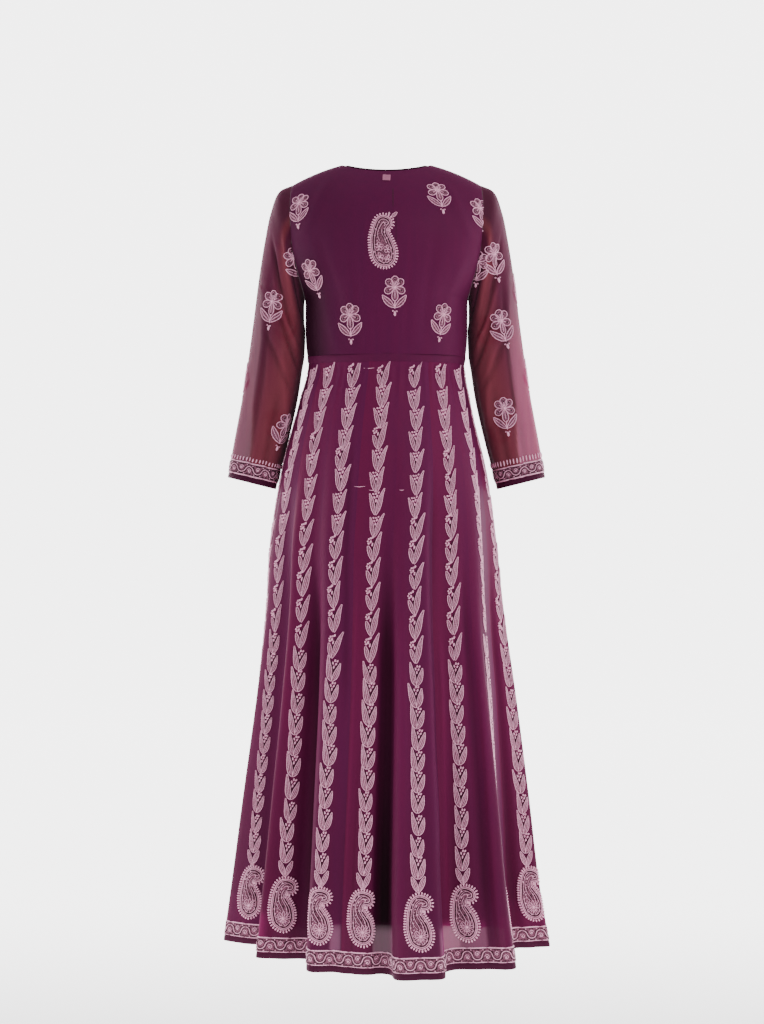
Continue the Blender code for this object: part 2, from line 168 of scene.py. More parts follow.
# ---- The yoke ------------------------------------------------------------------------------------
# Back and front of crinkled georgette, backed with an opaque lining, cut from shoulder to empire seam
# and sewn together over the shoulders. It is drawn smooth over the back, with faint pulls.

YOKE_END = -0.3297
SHOULDER_HALF = 0.162
SHOULDER_DROP = 0.034
NECK_HALF = 0.0755
NECK_SHARE = NECK_HALF / SHOULDER_HALF
NECK_ROUNDNESS = 0.8
BACK_NECK_DROP = 0.0145
FRONT_NECK_DROP = 0.098
RIDGE_Y = 0.012
SHOULDER_ROUNDING = 0.13
SHOULDER_SOFTNESS = 0.75
UNDERARM = -0.2306
ARMHOLE_HALF_DEPTH = 0.060
TORSO_POWER = 2.3
ARMHOLE_FLATTENING = 0.25
SEAM_GAP = 0.0003

# Height, half width, depth of the back's middle, depth of the front's middle
YOKE_SECTIONS = (
    (0.000, 0.1620, 0.090, -0.070),
    (-0.034, 0.1620, 0.102, -0.080),
    (-0.060, 0.1640, 0.110, -0.085),
    (-0.100, 0.1635, 0.117, -0.096),
    (-0.143, 0.1605, 0.121, -0.112),
    (-0.190, 0.1505, 0.120, -0.129),
    (-0.2306, 0.1400, 0.116, -0.131),
    (-0.265, 0.1393, 0.111, -0.122),
    (-0.300, 0.1388, 0.106, -0.109),
    (-0.345, 0.1340, 0.103, -0.101),
)

# Soft pulls in the yoke: across and down where each starts, across and down where it ends, half width
# across, and how far it stands out
BACK_PULLS = (
    (-0.90, 0.42, -0.58, 1.02, 0.060, 0.0016),
    (-0.74, 0.30, -0.50, 0.92, 0.050, -0.0012),
    (-0.36, 0.40, -0.33, 1.05, 0.045, -0.0010),
    (-0.12, 0.55, -0.10, 1.05, 0.050, 0.0008),
    (0.26, 0.45, 0.22, 1.05, 0.045, -0.0009),
    (0.52, 0.25, 0.44, 1.02, 0.050, -0.0011),
    (0.88, 0.40, 0.62, 1.02, 0.060, 0.0015),
    (-0.60, 0.05, -0.88, 0.38, 0.070, 0.0012),
    (0.60, 0.06, 0.90, 0.40, 0.070, 0.0012),
)
FRONT_PULLS = (
    (-0.88, 0.42, -0.45, 1.02, 0.060, 0.0016),
    (-0.62, 0.60, -0.52, 1.05, 0.040, -0.0014),
    (-0.30, 0.66, -0.27, 1.05, 0.040, 0.0012),
    (0.05, 0.62, 0.04, 1.05, 0.045, -0.0010),
    (0.36, 0.60, 0.30, 1.05, 0.040, 0.0012),
    (0.66, 0.55, 0.52, 1.05, 0.040, -0.0014),
    (0.90, 0.40, 0.48, 1.02, 0.060, 0.0015),
)


def curve_through(knots, values, at):
    """A smooth curve through values at knots, read at the places given."""
    knots = np.asarray(knots, float)
    values = np.asarray(values, float).reshape(len(knots), -1)
    at = np.asarray(at, float)
    slopes = np.gradient(values, knots, axis=0)
    index = np.clip(np.searchsorted(knots, at, side="right") - 1, 0, len(knots) - 2)
    span = knots[index + 1] - knots[index]
    t = np.clip((at - knots[index]) / span, 0.0, 1.0)[..., None]
    span = span[..., None]
    return (
        (2 * t**3 - 3 * t**2 + 1) * values[index]
        + (t**3 - 2 * t**2 + t) * span * slopes[index]
        + (3 * t**2 - 2 * t**3) * values[index + 1]
        + (t**3 - t**2) * span * slopes[index + 1]
    )


def read_sections(table, height):
    """The columns of a section table at a height. Its first column runs downwards."""
    rows = np.array(table)
    return np.moveaxis(curve_through(-rows[:, 0], rows[:, 1:], -np.asarray(height, float)), -1, 0)


def armhole_depth(height):
    """How far the armhole's edge stands from the side at a height."""
    middle = (UNDERARM - SHOULDER_DROP) / 2
    share = np.clip((height - middle) / ((-SHOULDER_DROP - UNDERARM) / 2), -1, 1)
    return ARMHOLE_HALF_DEPTH * np.sqrt(1 - share**2)


def yoke(side, down, back):
    """The yoke's outer face, back or front. Down is 0 at the shoulder and neck, 1 at the waist strip."""
    side, down = np.broadcast_arrays(np.clip(np.asarray(side, float), -1, 1), np.asarray(down, float))
    ridge = SHOULDER_DROP * (NECK_SHARE**2 - side**2) / (1 - NECK_SHARE**2)
    inside = np.clip(1 - (side / NECK_SHARE) ** 2, 0, 1)
    neckline = -(BACK_NECK_DROP if back else FRONT_NECK_DROP) * inside**NECK_ROUNDNESS
    top = np.where(inside > 0, neckline, ridge)
    height = top + (YOKE_END - top) * down
    half_width, back_depth, front_depth = read_sections(YOKE_SECTIONS, height)
    share_below = (ridge - height) / (ridge - YOKE_END)
    edge = armhole_depth(-SHOULDER_DROP + (YOKE_END + SHOULDER_DROP) * share_below)
    flatter = ARMHOLE_FLATTENING * edge / ARMHOLE_HALF_DEPTH
    bulge = np.clip(1 - np.abs(side) ** TORSO_POWER, 0, 1) ** (0.5 + flatter)
    fall = np.clip((ridge - height) / SHOULDER_ROUNDING, 0, 1)
    rounded = (1 - (1 - fall) ** 2) ** SHOULDER_SOFTNESS
    facing = 1 if back else -1
    middle_depth = back_depth if back else front_depth
    depth = facing * edge * (1 - bulge) + bulge * (RIDGE_Y + (middle_depth - RIDGE_Y) * rounded)
    return np.stack((-facing * side * half_width, depth, height), -1)


def eased(share):
    """0 to 1 with a soft start and end."""
    share = np.clip(share, 0, 1)
    return share * share * (3 - 2 * share)


def pulled(across, down, creases, around):
    """How far soft creases move the cloth out. Around is a closed cloth's whole way across, or 0."""
    lift = np.zeros(np.broadcast(across, down).shape)
    for start, high, end, low, half_width, depth in creases:
        share = (down - high) / (low - high)
        away = across - (start + (end - start) * np.clip(share, 0, 1))
        if around:
            away = (away + around / 2) % around - around / 2
        fading = eased(share / 0.25) * eased((1 - share) / 0.25)
        lift = lift + depth * np.exp(-((away / half_width) ** 2)) * fading
    return lift


def outward(surface, across, down):
    """Unit vectors that point out of the garment."""
    step = 1e-4
    along = surface(across + step, down) - surface(across - step, down)
    descent = surface(across, down + step) - surface(across, down - step)
    normal = np.cross(descent, along)
    return normal / np.linalg.norm(normal, axis=-1, keepdims=True)


def cloth_grid(surface, across, down, creases=(), around=0.0):
    """Points of a cloth with its creases: a column for each place across, a row for each place down."""
    u, v = np.meshgrid(across, down, indexing="ij")
    points = surface(u, v)
    if len(creases):
        points = points + outward(surface, u, v) * pulled(u, v, creases, around)[..., None]
    return points


def grid_piece(name, points, material, closed=False, **paint):
    """A piece of the gown made over a grid of points. Paint is a value for each point, by its name."""
    columns, rows = points.shape[:2]
    u = np.arange(columns if closed else columns - 1)[:, None]
    v = np.arange(rows - 1)[None, :]
    beside = (u + 1) % columns
    faces = np.stack((u * rows + v, u * rows + v + 1, beside * rows + v + 1, beside * rows + v), -1)
    mesh = smooth_mesh(name, points.reshape(-1, 3).tolist(), faces.reshape(-1, 4).tolist(), material)
    for kind, values in paint.items():
        layer = mesh.attributes.new(kind, "FLOAT", "POINT")
        layer.data.foreach_set("value", np.ravel(values).astype(np.float32))
    piece = added(name, mesh)
    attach(piece, "root")
    return piece


STREAK_SCALE = (95.0, 95.0, 4.0)
STREAK_SHARE = 0.55
PEBBLE_SCALE = 900.0
RELIEF = 0.0003


def mixed(tree, share, low, high):
    """A colour between two, by a share from 0 to 1."""
    return add_node(tree, "Mix", {0: share, 6: (*low, 1), 7: (*high, 1)}, out=2, data_type="RGBA")


def georgette(name, red, purple, alpha, roughness=0.62, sheen=0.10, thin=None):
    """Crinkled georgette: a fine pebbled grain and faint streaks down the cloth. Its points' tone turns
    it from purple at 0 to red at 1, their depth is painted shade that darkens it in the creases and
    painted light that lightens it where it is below 0, and where their thin is 1 the cloth's cover falls
    from alpha to thin."""
    material, tree, shader = new_material(name)
    place = add_node(tree, "TexCoord", out="Object")
    long_grain = add_node(tree, "Mapping", {"Vector": place, "Scale": STREAK_SCALE})
    streaks = add_node(tree, "TexNoise", {"Vector": long_grain, "Scale": 1.0, "Detail": 3.0})
    tone = add_node(tree, "Attribute", out="Fac", attribute_name="tone")
    redness = add_node(
        tree, "Math", {0: streaks, 1: STREAK_SHARE, 2: tone}, operation="MULTIPLY_ADD", use_clamp=True
    )
    pebbles = add_node(tree, "TexNoise", {"Vector": place, "Scale": PEBBLE_SCALE, "Detail": 2.0})
    shade = add_node(tree, "MapRange", {
        "Value": pebbles, "From Min": 0.30, "From Max": 0.70, "To Min": 0.92, "To Max": 1.07,
    })
    # The depth attribute is painted shade and light: the base colour is scaled by 1 minus depth
    depth = add_node(tree, "Attribute", out="Fac", attribute_name="depth")
    painted_light_factor = add_node(tree, "Math", {0: 1.0, 1: depth}, operation="SUBTRACT")
    grain = add_node(tree, "Math", {0: shade, 1: painted_light_factor}, operation="MULTIPLY")
    hue = mixed(tree, redness, purple, red)
    set_inputs(tree, shader, {
        "Base Color": add_node(tree, "VectorMath", {0: hue, "Scale": grain}, operation="SCALE"),
        "Normal": add_node(tree, "Bump", {"Height": pebbles, "Strength": 0.25, "Distance": RELIEF}),
        "Roughness": roughness, "Specular IOR Level": 0.06, "Alpha": alpha,
        "Sheen Weight": sheen, "Sheen Roughness": 0.45, "Sheen Tint": (0.85, 0.22, 0.50, 1),
    })
    if thin is not None:
        sheer = add_node(tree, "Attribute", out="Fac", attribute_name="thin")
        cover = add_node(tree, "MapRange", {"Value": sheer, "To Min": alpha, "To Max": thin})
        set_inputs(tree, shader, {"Alpha": cover})
    return material


lined_georgette = georgette("lined_georgette", (0.088, 0.0050, 0.036), (0.060, 0.0055, 0.036), 1.0)
YOKE_COLUMNS = 96
YOKE_ROWS = 80
yoke_across = np.sin(np.linspace(-math.pi / 2, math.pi / 2, YOKE_COLUMNS + 1))
yoke_down = np.linspace(0, 1, YOKE_ROWS + 1)


def yoke_back_face(side, down):
    return yoke(side, down, True)


def yoke_front_face(side, down):
    return yoke(side, down, False)


back_points = cloth_grid(yoke_back_face, yoke_across, yoke_down, BACK_PULLS)
front_points = cloth_grid(yoke_front_face, yoke_across, yoke_down, FRONT_PULLS)
yoke_side, yoke_fall = np.meshgrid(yoke_across, yoke_down, indexing="ij")

# Painted shade and light: the cloth is painted darker low down by the left side seam, and lighter towards
# the right and down the middle
SIDE_SHADE = 0.80
RIGHT_LIGHT = 0.10
MIDDLE_LIGHT = 0.13
yoke_painted_shading = SIDE_SHADE * eased((-yoke_side - 0.58) / 0.42) * eased((yoke_fall - 0.35) / 0.35)
yoke_painted_shading = yoke_painted_shading - RIGHT_LIGHT * yoke_side - MIDDLE_LIGHT * eased((0.7 - np.abs(yoke_side)) / 0.5)
yoke_back = grid_piece(
    "yoke_back_cloth", back_points, lined_georgette, tone=0.10 + 0.12 * yoke_side, depth=yoke_painted_shading
)
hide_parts("yoke_back")
# The front takes the back's painted shade and light, mirrored
yoke_front = grid_piece(
    "yoke_front_cloth", front_points, lined_georgette,
    tone=0.10 - 0.12 * yoke_side, depth=yoke_painted_shading[::-1],
)
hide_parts("yoke_front")

# ---- The waist strip -----------------------------------------------------------------------------
# A plain strip, 12 mm deep, that joins yoke and skirt under the bust. It is a shade lighter than the
# yoke, and both of its edges are stitched down.

SKIRT_TOP = -0.3423

# Height, middle's x, half width, half depth, how much of the kalis' drift sideways and of the hem's folds
# has come in, and how far inside the kalis the lining hangs
SKIRT_SECTIONS = (
    (-0.325, 0.0000, 0.1368, 0.1045, 0.00, 0.00, 0.0065),
    (-0.345, 0.0000, 0.1335, 0.1030, 0.00, 0.00, 0.0065),
    (-0.400, 0.0025, 0.1440, 0.1160, 0.06, 0.00, 0.0070),
    (-0.450, 0.0040, 0.1560, 0.1300, 0.16, 0.01, 0.0075),
    (-0.500, 0.0045, 0.1690, 0.1430, 0.27, 0.04, 0.0080),
    (-0.575, 0.0050, 0.1830, 0.1570, 0.41, 0.10, 0.0090),
    (-0.660, 0.0060, 0.1945, 0.1680, 0.55, 0.18, 0.0100),
    (-0.750, 0.0045, 0.2015, 0.1780, 0.66, 0.28, 0.0110),
    (-0.920, 0.0020, 0.2210, 0.1970, 0.80, 0.48, 0.0140),
    (-1.090, 0.0020, 0.2405, 0.2150, 0.90, 0.69, 0.0220),
    (-1.260, 0.0020, 0.2590, 0.2300, 0.97, 0.90, 0.0310),
    (-1.350, 0.0000, 0.2720, 0.2350, 1.00, 1.00, 0.0340),
)


def ellipse(turn, half_width, half_depth):
    """(x, y) on an ellipse, turned from the middle of the back towards the wearer's right."""
    return np.stack((-half_width * np.sin(turn), half_depth * np.cos(turn)), -1)


def waist_strip(turns, down):
    """The strip's outer face. Turns is 0 at the left side and 0.5 at the right, over the back."""
    turns, down = np.broadcast_arrays(np.asarray(turns, float), np.asarray(down, float))
    height = YOKE_END + (SKIRT_TOP - YOKE_END) * down
    half_width, half_depth = read_sections(SKIRT_SECTIONS, height)[1:3]
    proud = SEAM_GAP + 0.0006 * np.sin(np.pi * np.clip(down, 0, 1))
    across = ellipse((2 * turns - 0.5) * math.pi, half_width + proud, half_depth + proud)
    return np.concatenate((across, height[..., None]), -1)


strip_georgette = georgette("strip_georgette", (0.098, 0.0068, 0.039), (0.072, 0.0070, 0.039), 1.0)
strip_down = np.linspace(0, 1, 9)
for name, first in (("waist_strip_back", 0.0), ("waist_strip_front", 0.5)):
    strip_points = cloth_grid(waist_strip, first + np.linspace(0, 0.5, 121), strip_down)
    strip = grid_piece(f"{name}_cloth", strip_points, strip_georgette)
    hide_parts(name)

# ---- The sleeves ---------------------------------------------------------------------------------
# Two long loose sleeves of the same georgette with no lining, each one piece with an underarm seam.
# They hang open, so the light comes through both layers, and break softly at the elbow.

ARMHOLE_FADE = 0.41
CUFF_TURNING_TOP = 0.9865
UNDERARM_X = float(read_sections(YOKE_SECTIONS, UNDERARM)[0])

# Share of the way down, outer edge (x, z), inner edge (x, z), half depth, middle's y
SLEEVE_SECTIONS = (
    (0.00, 0.1620, -0.0340, 0.1400, -0.2306, 0.0600, 0.000),
    (0.07, 0.1830, -0.0440, 0.1408, -0.2350, 0.0600, 0.000),
    (0.17, 0.1985, -0.0800, 0.1412, -0.2440, 0.0570, -0.001),
    (0.28, 0.2090, -0.1300, 0.1412, -0.2600, 0.0530, -0.002),
    (0.41, 0.2195, -0.1960, 0.1412, -0.2830, 0.0500, -0.003),
    (0.54, 0.2285, -0.2660, 0.1420, -0.3140, 0.0480, -0.004),
    (0.67, 0.2385, -0.3380, 0.1455, -0.3570, 0.0470, -0.005),
    (0.80, 0.2495, -0.4060, 0.1555, -0.4180, 0.0450, -0.008),
    (0.90, 0.2615, -0.4690, 0.1710, -0.4830, 0.0420, -0.011),
    (1.00, 0.2737, -0.5356, 0.1905, -0.5564, 0.0390, -0.014),
)

# Soft folds down and across a sleeve, in the columns of the yoke's pulls. Across is 0 at the outer edge,
# 0.25 at the middle of the back and 0.5 under the arm.
SLEEVE_FOLDS = (
    (0.28, 0.05, 0.45, 0.36, 0.022, -0.0034),
    (0.22, 0.02, 0.37, 0.44, 0.030, 0.0022),
    (0.13, 0.20, 0.37, 0.53, 0.024, -0.0046),
    (0.20, 0.33, 0.41, 0.60, 0.022, 0.0034),
    (0.22, 0.43, 0.43, 0.68, 0.020, -0.0042),
    (0.17, 0.55, 0.38, 0.76, 0.022, -0.0036),
    (0.26, 0.56, 0.40, 0.88, 0.024, 0.0030),
    (0.17, 0.30, 0.21, 1.12, 0.020, -0.0030),
    (0.08, 0.58, 0.10, 1.15, 0.030, 0.0024),
    (0.30, 0.72, 0.33, 1.15, 0.024, -0.0030),
    (0.44, 0.60, 0.47, 1.15, 0.040, -0.0030),
    (0.50, 0.33, 0.50, 0.67, 0.060, 0.0020),
    (0.60, 0.10, 0.72, 0.52, 0.026, 0.0035),
    (0.72, 0.16, 0.58, 0.58, 0.024, -0.0040),
    (0.84, 0.10, 0.80, 0.55, 0.030, 0.0030),
    (0.88, 0.38, 0.66, 0.70, 0.024, -0.0038),
    (0.58, 0.56, 0.60, 1.15, 0.030, 0.0030),
    (0.70, 0.62, 0.73, 1.15, 0.026, -0.0030),
    (0.86, 0.66, 0.85, 1.15, 0.030, 0.0030),
)


def sleeve(round_turns, down, hand):
    """A sleeve's outer face. Round is 0 at its outer edge. Hand is 1 on the left and -1 on the right."""
    round_turns, down = np.broadcast_arrays(np.asarray(round_turns, float), np.asarray(down, float))
    rows = np.array(SLEEVE_SECTIONS)
    read = np.moveaxis(curve_through(rows[:, 0], rows[:, 1:], down), -1, 0)
    outer_x, outer_z, inner_x, inner_z, half_depth, middle_y = read
    angle = 2 * math.pi * round_turns * hand
    share = (1 + np.cos(angle)) / 2
    x = inner_x + (outer_x - inner_x) * share
    z = inner_z + (outer_z - inner_z) * share
    armhole_z = UNDERARM + (-SHOULDER_DROP - UNDERARM) * share
    armhole_x = read_sections(YOKE_SECTIONS, armhole_z)[0]
    straight = UNDERARM_X + (SHOULDER_HALF - UNDERARM_X) * share
    fade = np.clip(1 - down / ARMHOLE_FADE, 0, 1) ** 2
    x = x + (armhole_x - straight) * fade + SEAM_GAP
    y = middle_y + half_depth * np.sin(angle)
    return np.stack((hand * x, y, z), -1)


# The sleeves' colours are lighter than the skirt's: painted backlight, the light through the open sleeves
SLEEVE_RED = (0.160, 0.026, 0.043)
SLEEVE_PURPLE = (0.082, 0.008, 0.032)
sleeve_georgette = georgette("sleeve_georgette", SLEEVE_RED, SLEEVE_PURPLE, 0.965, thin=0.875)

# A strip along each sleeve's outer edge hangs free of the arm, so it is thin, and painted backlight makes
# it light. Its width is a share of the way round, and it changes on the way down.
THIN_WIDTH = {"left": 0.165, "right": 0.190}
THIN_DOWN = (0.33, 0.38, 0.585, 0.80, 0.91, 1.0)
THIN_SHARE = (0.0, 0.55, 0.90, 0.95, 1.20, 1.30)
# How much painted backlight lightens each sleeve's thin strip
STRIP_PAINTED_BACKLIGHT = {"left": 0.6, "right": 1.9}

# The warmer band down each sleeve: share of the way down, its middle from the outer edge, its half width
WARM_BAND = (
    (0.00, 0.20, 0.020),
    (0.12, 0.23, 0.035),
    (0.30, 0.30, 0.090),
    (0.50, 0.33, 0.110),
    (0.75, 0.32, 0.150),
    (1.00, 0.30, 0.200),
)

# How much darker a sleeve is all over, and how much painted shade darkens its creases, the underarm and
# the cloth near the armhole
SLEEVE_SHADE = 0.08
SLEEVE_CREASES = 66
CREASE_LIMITS = (-0.10, 0.40)
UNDERARM_SHADE = 0.16
ARMHOLE_SHADE = 0.22
SLEEVE_COLUMNS = 96
SLEEVE_ROWS = 140
sleeve_around = np.arange(SLEEVE_COLUMNS) / SLEEVE_COLUMNS
sleeve_down = np.linspace(0, CUFF_TURNING_TOP, SLEEVE_ROWS + 1)
sleeve_points, sleeve_cloths = {}, {}
for side, hand in (("left", 1), ("right", -1)):
    folds = [
        (start if hand == 1 else 1 - start, high, end if hand == 1 else 1 - end, low, half, depth)
        for start, high, end, low, half, depth in SLEEVE_FOLDS
    ]
    sleeve_points[side] = cloth_grid(
        lambda u, v, hand=hand: sleeve(u, v, hand), sleeve_around, sleeve_down, folds, around=1.0
    )
    turns, fall = np.meshgrid(sleeve_around, sleeve_down, indexing="ij")
    inward = np.minimum(turns, 1 - turns)
    thin_edge = THIN_WIDTH[side] * np.interp(fall, THIN_DOWN, THIN_SHARE)
    thin = eased((thin_edge - inward) / 0.012 + 0.5) * eased((fall - 0.33) / 0.03)
    # Painted shade in the sleeve's creases
    painted_crease_shade = np.clip(-SLEEVE_CREASES * pulled(turns, fall, folds, 1.0), *CREASE_LIMITS)
    band = np.array(WARM_BAND)
    middle, half_width = curve_through(band[:, 0], band[:, 1:], fall).T
    warm = np.exp(-(((inward - middle.T) / half_width.T) ** 2)) * (1 - thin)
    under = UNDERARM_SHADE * eased((inward - 0.38) / 0.10)
    # Depth is painted shade in the creases, under the arm and near the armhole, and painted backlight in
    # the thin strip
    depth = SLEEVE_SHADE + painted_crease_shade + under - STRIP_PAINTED_BACKLIGHT[side] * thin * eased((fall - 0.3) / 0.5)
    depth = depth + ARMHOLE_SHADE * eased((0.25 - fall) / 0.2)
    cloth = grid_piece(
        f"sleeve_{side}_cloth", sleeve_points[side], sleeve_georgette, closed=True,
        tone=1.2 * warm - 0.45 - under + 0.3 * thin, depth=depth, thin=thin,
    )
    sleeve_cloths[side] = cloth
    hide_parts(f"sleeve_{side}")

# ---- The kalis -----------------------------------------------------------------------------------
# Sixteen flared panels of sheer georgette that hang from the waist strip to the hem. They fall in soft
# folds that deepen towards the hem, where the cloth stands in broad panes with tucks between them.

HEM_BACK = -1.350
HEM_SIDE_LIFT = 0.013
KALIS = 16
KALI_TURN = 2 * math.pi / KALIS
MIDDLE_BACK = 4.07
KALI_DRIFT = math.radians(15.5)
DRIFT_MIDDLE = 3.1
HEM_TURNING = 0.0110
HEM_HALF_WIDTH = 0.272
HEM_HALF_DEPTH = 0.235

# Kali coordinates where a pane starts and ends, its middle (x, y), its width, the way that it faces in
# degrees, how far it bows out, and how far the cloth after it is tucked in
FOLD_COLUMNS = ("start", "end", "x", "y", "width", "facing", "bow", "tuck")
FOLDS = (
    (0.64, 1.34, 0.2440, -0.008, 0.096, -36, 0.005, 0.010),
    (1.64, 2.34, 0.1790, 0.108, 0.084, -12, 0.008, 0.008),
    (2.56, 4.20, 0.0790, 0.196, 0.120, -26, 0.008, 0.018),
    (4.60, 5.38, -0.0530, 0.258, 0.086, 6, 0.014, 0.010),
    (5.58, 6.94, -0.1570, 0.205, 0.114, 6, 0.007, 0.010),
    (7.46, 8.34, -0.2450, 0.038, 0.080, 38, 0.006, 0.014),
    (8.58, 9.36, -0.2600, -0.085, 0.078, 101, 0.008, 0.024),
    (9.66, 10.42, -0.2020, -0.178, 0.084, 131, 0.010, 0.026),
    (10.74, 11.48, -0.1130, -0.229, 0.086, 158, 0.010, 0.028),
    (11.80, 12.74, -0.0080, -0.246, 0.100, 180, 0.012, 0.028),
    (13.04, 13.82, 0.0990, -0.231, 0.088, 204, 0.010, 0.026),
    (14.12, 14.88, 0.1920, -0.180, 0.084, 229, 0.010, 0.024),
    (15.18, 16.18, 0.2580, -0.098, 0.086, 256, 0.008, 0.020),
)

# Folds finer than the panes, in the columns of the yoke's pulls, across in kali coordinates
SKIRT_FOLDS = (
    (1.42, 0.22, 1.50, 1.30, 0.15, -0.0060),
    (2.30, 0.28, 2.46, 1.30, 0.14, -0.0110),
    (3.22, 0.08, 3.34, 0.62, 0.12, -0.0030),
    (3.62, 0.32, 3.52, 1.10, 0.06, 0.0028),
    (3.78, 0.52, 3.74, 1.20, 0.05, -0.0022),
    (4.34, 0.26, 4.40, 1.30, 0.17, -0.0130),
    (4.74, 0.36, 4.72, 1.05, 0.10, 0.0030),
    (5.46, 0.14, 5.44, 0.75, 0.14, -0.0035),
    (5.66, 0.42, 5.62, 0.95, 0.06, 0.0028),
    (6.34, 0.30, 6.42, 1.02, 0.11, -0.0045),
    (6.58, 0.42, 6.62, 1.20, 0.06, 0.0030),
    (6.82, 0.34, 7.20, 1.30, 0.14, -0.0070),
    (7.62, 0.30, 7.60, 1.15, 0.10, -0.0040),
    (8.44, 0.24, 8.48, 1.30, 0.15, -0.0070),
    (9.48, 0.30, 9.50, 1.30, 0.15, -0.0100),
    (9.98, 0.42, 9.90, 1.10, 0.06, 0.0028),
    (10.56, 0.22, 10.58, 1.30, 0.15, -0.0110),
    (11.22, 0.12, 11.30, 0.70, 0.12, -0.0035),
    (11.62, 0.34, 11.64, 1.30, 0.15, -0.0120),
    (12.18, 0.36, 12.10, 1.05, 0.06, 0.0030),
    (12.52, 0.44, 12.56, 0.98, 0.08, -0.0030),
    (12.90, 0.24, 12.88, 1.30, 0.15, -0.0120),
    (13.42, 0.16, 13.36, 0.72, 0.12, -0.0032),
    (13.98, 0.32, 13.96, 1.30, 0.15, -0.0110),
    (14.56, 0.40, 14.60, 1.08, 0.06, 0.0028),
    (15.02, 0.26, 15.04, 1.30, 0.15, -0.0100),
    (15.66, 0.36, 15.62, 1.00, 0.09, -0.0030),
    (16.38, 0.28, 16.42, 1.30, 0.15, -0.0070),
)
GATHERS = 61
GATHER_DEPTH = 0.0008
GATHER_END = 0.10


def hem_knots():
    """Kali coordinates and (x, y) of the points that the hem passes through."""
    places, points = [], []
    folds = [dict(zip(FOLD_COLUMNS, row)) for row in FOLDS]
    for fold in folds:
        facing = math.radians(fold["facing"])
        middle = np.array((fold["x"], fold["y"]))
        along = np.array((-math.cos(facing), -math.sin(facing)))
        out = np.array((-math.sin(facing), math.cos(facing)))
        fold["first"] = middle - along * fold["width"] / 2
        fold["last"] = middle + along * fold["width"] / 2
        fold["crest"] = middle + out * fold["bow"]
    for fold, following in zip(folds, folds[1:] + folds[:1]):
        next_start = following["start"] + (KALIS if following is folds[0] else 0)
        between = (fold["last"] + following["first"]) / 2
        tuck = between * (1 - fold["tuck"] / np.linalg.norm(between))
        places += [fold["start"], (fold["start"] + fold["end"]) / 2]
        places += [fold["end"], (fold["end"] + next_start) / 2]
        points += [fold["first"], fold["crest"], fold["last"], tuck]
    return np.array(places), np.array(points)


def hem_plan(kali):
    """The hem's (x, y) at a kali coordinate. The curve closes on itself after the last kali."""
    places, points = hem_knots()
    wrap = 3  # knots repeated past each end, so that the curve closes smoothly
    places = np.concatenate((places[-wrap:] - KALIS, places, places[:wrap] + KALIS))
    points = np.concatenate((points[-wrap:], points, points[:wrap]))
    first = places[wrap]
    return curve_through(places, points, first + (np.asarray(kali, float) - first) % KALIS)


def skirt(kali, down):
    """The skirt's outer face. Down is 0 at the waist strip and 1 at the hem."""
    kali, down = np.broadcast_arrays(np.asarray(kali, float), np.asarray(down, float))
    turn = (kali - MIDDLE_BACK) * KALI_TURN
    drift = -KALI_DRIFT * np.sin((kali - DRIFT_MIDDLE) * KALI_TURN)
    hem_height = HEM_BACK + HEM_SIDE_LIFT * np.sin(turn) ** 2
    height = SKIRT_TOP + (hem_height - SKIRT_TOP) * down
    even = SKIRT_TOP + (HEM_BACK - SKIRT_TOP) * down
    middle, half_width, half_depth, drifted, folded = read_sections(SKIRT_SECTIONS, even)[:5]
    fold = hem_plan(kali) - ellipse(turn + drift, HEM_HALF_WIDTH, HEM_HALF_DEPTH)
    across = ellipse(turn + drift * drifted, half_width, half_depth) + fold * folded[..., None]
    across[..., 0] += middle
    return np.concatenate((across, height[..., None]), -1)


def gathered_skirt(kali, down):
    """The skirt with the small gathers under the waist strip."""
    points = skirt(kali, down)
    ripple = np.sin(kali * 2 * math.pi * GATHERS / KALIS + 1.3 * np.sin(kali * 2.1))
    depth = GATHER_DEPTH * ripple * eased(1 - np.abs(down) / GATHER_END) * eased(np.abs(down) / 0.01)
    turn = (kali - MIDDLE_BACK) * KALI_TURN
    return points + np.stack((-np.sin(turn), np.cos(turn), 0 * turn), -1) * depth[..., None]


KALI_RED = (0.113, 0.0064, 0.040)
KALI_PURPLE = (0.082, 0.0064, 0.044)
sheer_georgette = georgette("sheer_georgette", KALI_RED, KALI_PURPLE, 0.999, thin=0.967, sheen=0.03)

# Where only one layer hangs, in the tucks below the lining: kali coordinate, half width, and how sheer
THIN_PANES = (
    (1.50, 0.30, 0.5),
    (2.52, 0.15, 0.6),
    (3.34, 0.12, 0.5),
    (4.38, 0.15, 0.5),
    (5.60, 0.30, 0.9),
    (6.10, 0.28, 0.4),
    (7.20, 0.30, 0.5),
    (8.48, 0.30, 0.5),
    (9.50, 0.20, 0.6),
    (10.57, 0.18, 0.5),
    (11.64, 0.22, 0.8),
    (12.88, 0.20, 0.5),
    (13.96, 0.18, 0.6),
    (15.03, 0.22, 0.5),
    (16.40, 0.30, 0.5),
)
PANE_TOP = 0.915
# How much painted light brightens the thin panes low in the skirt
PANE_PAINTED_LIGHT = 1.4
SIDE_SHEERNESS = 0.08


def thinness(kali, down):
    """How thin the skirt's cover is at a place, from 0 to 1."""
    thin = np.zeros(kali.shape)
    for middle, half_width, sheerness in THIN_PANES:
        away = (kali - middle + KALIS / 2) % KALIS - KALIS / 2
        thin = np.maximum(thin, sheerness * eased((half_width - np.abs(away)) / 0.06 + 0.5))
    sides = SIDE_SHEERNESS * eased((np.abs(np.sin((kali - MIDDLE_BACK) * KALI_TURN)) - 0.80) / 0.12)
    return np.maximum(thin * eased((down - PANE_TOP) / 0.02), sides)
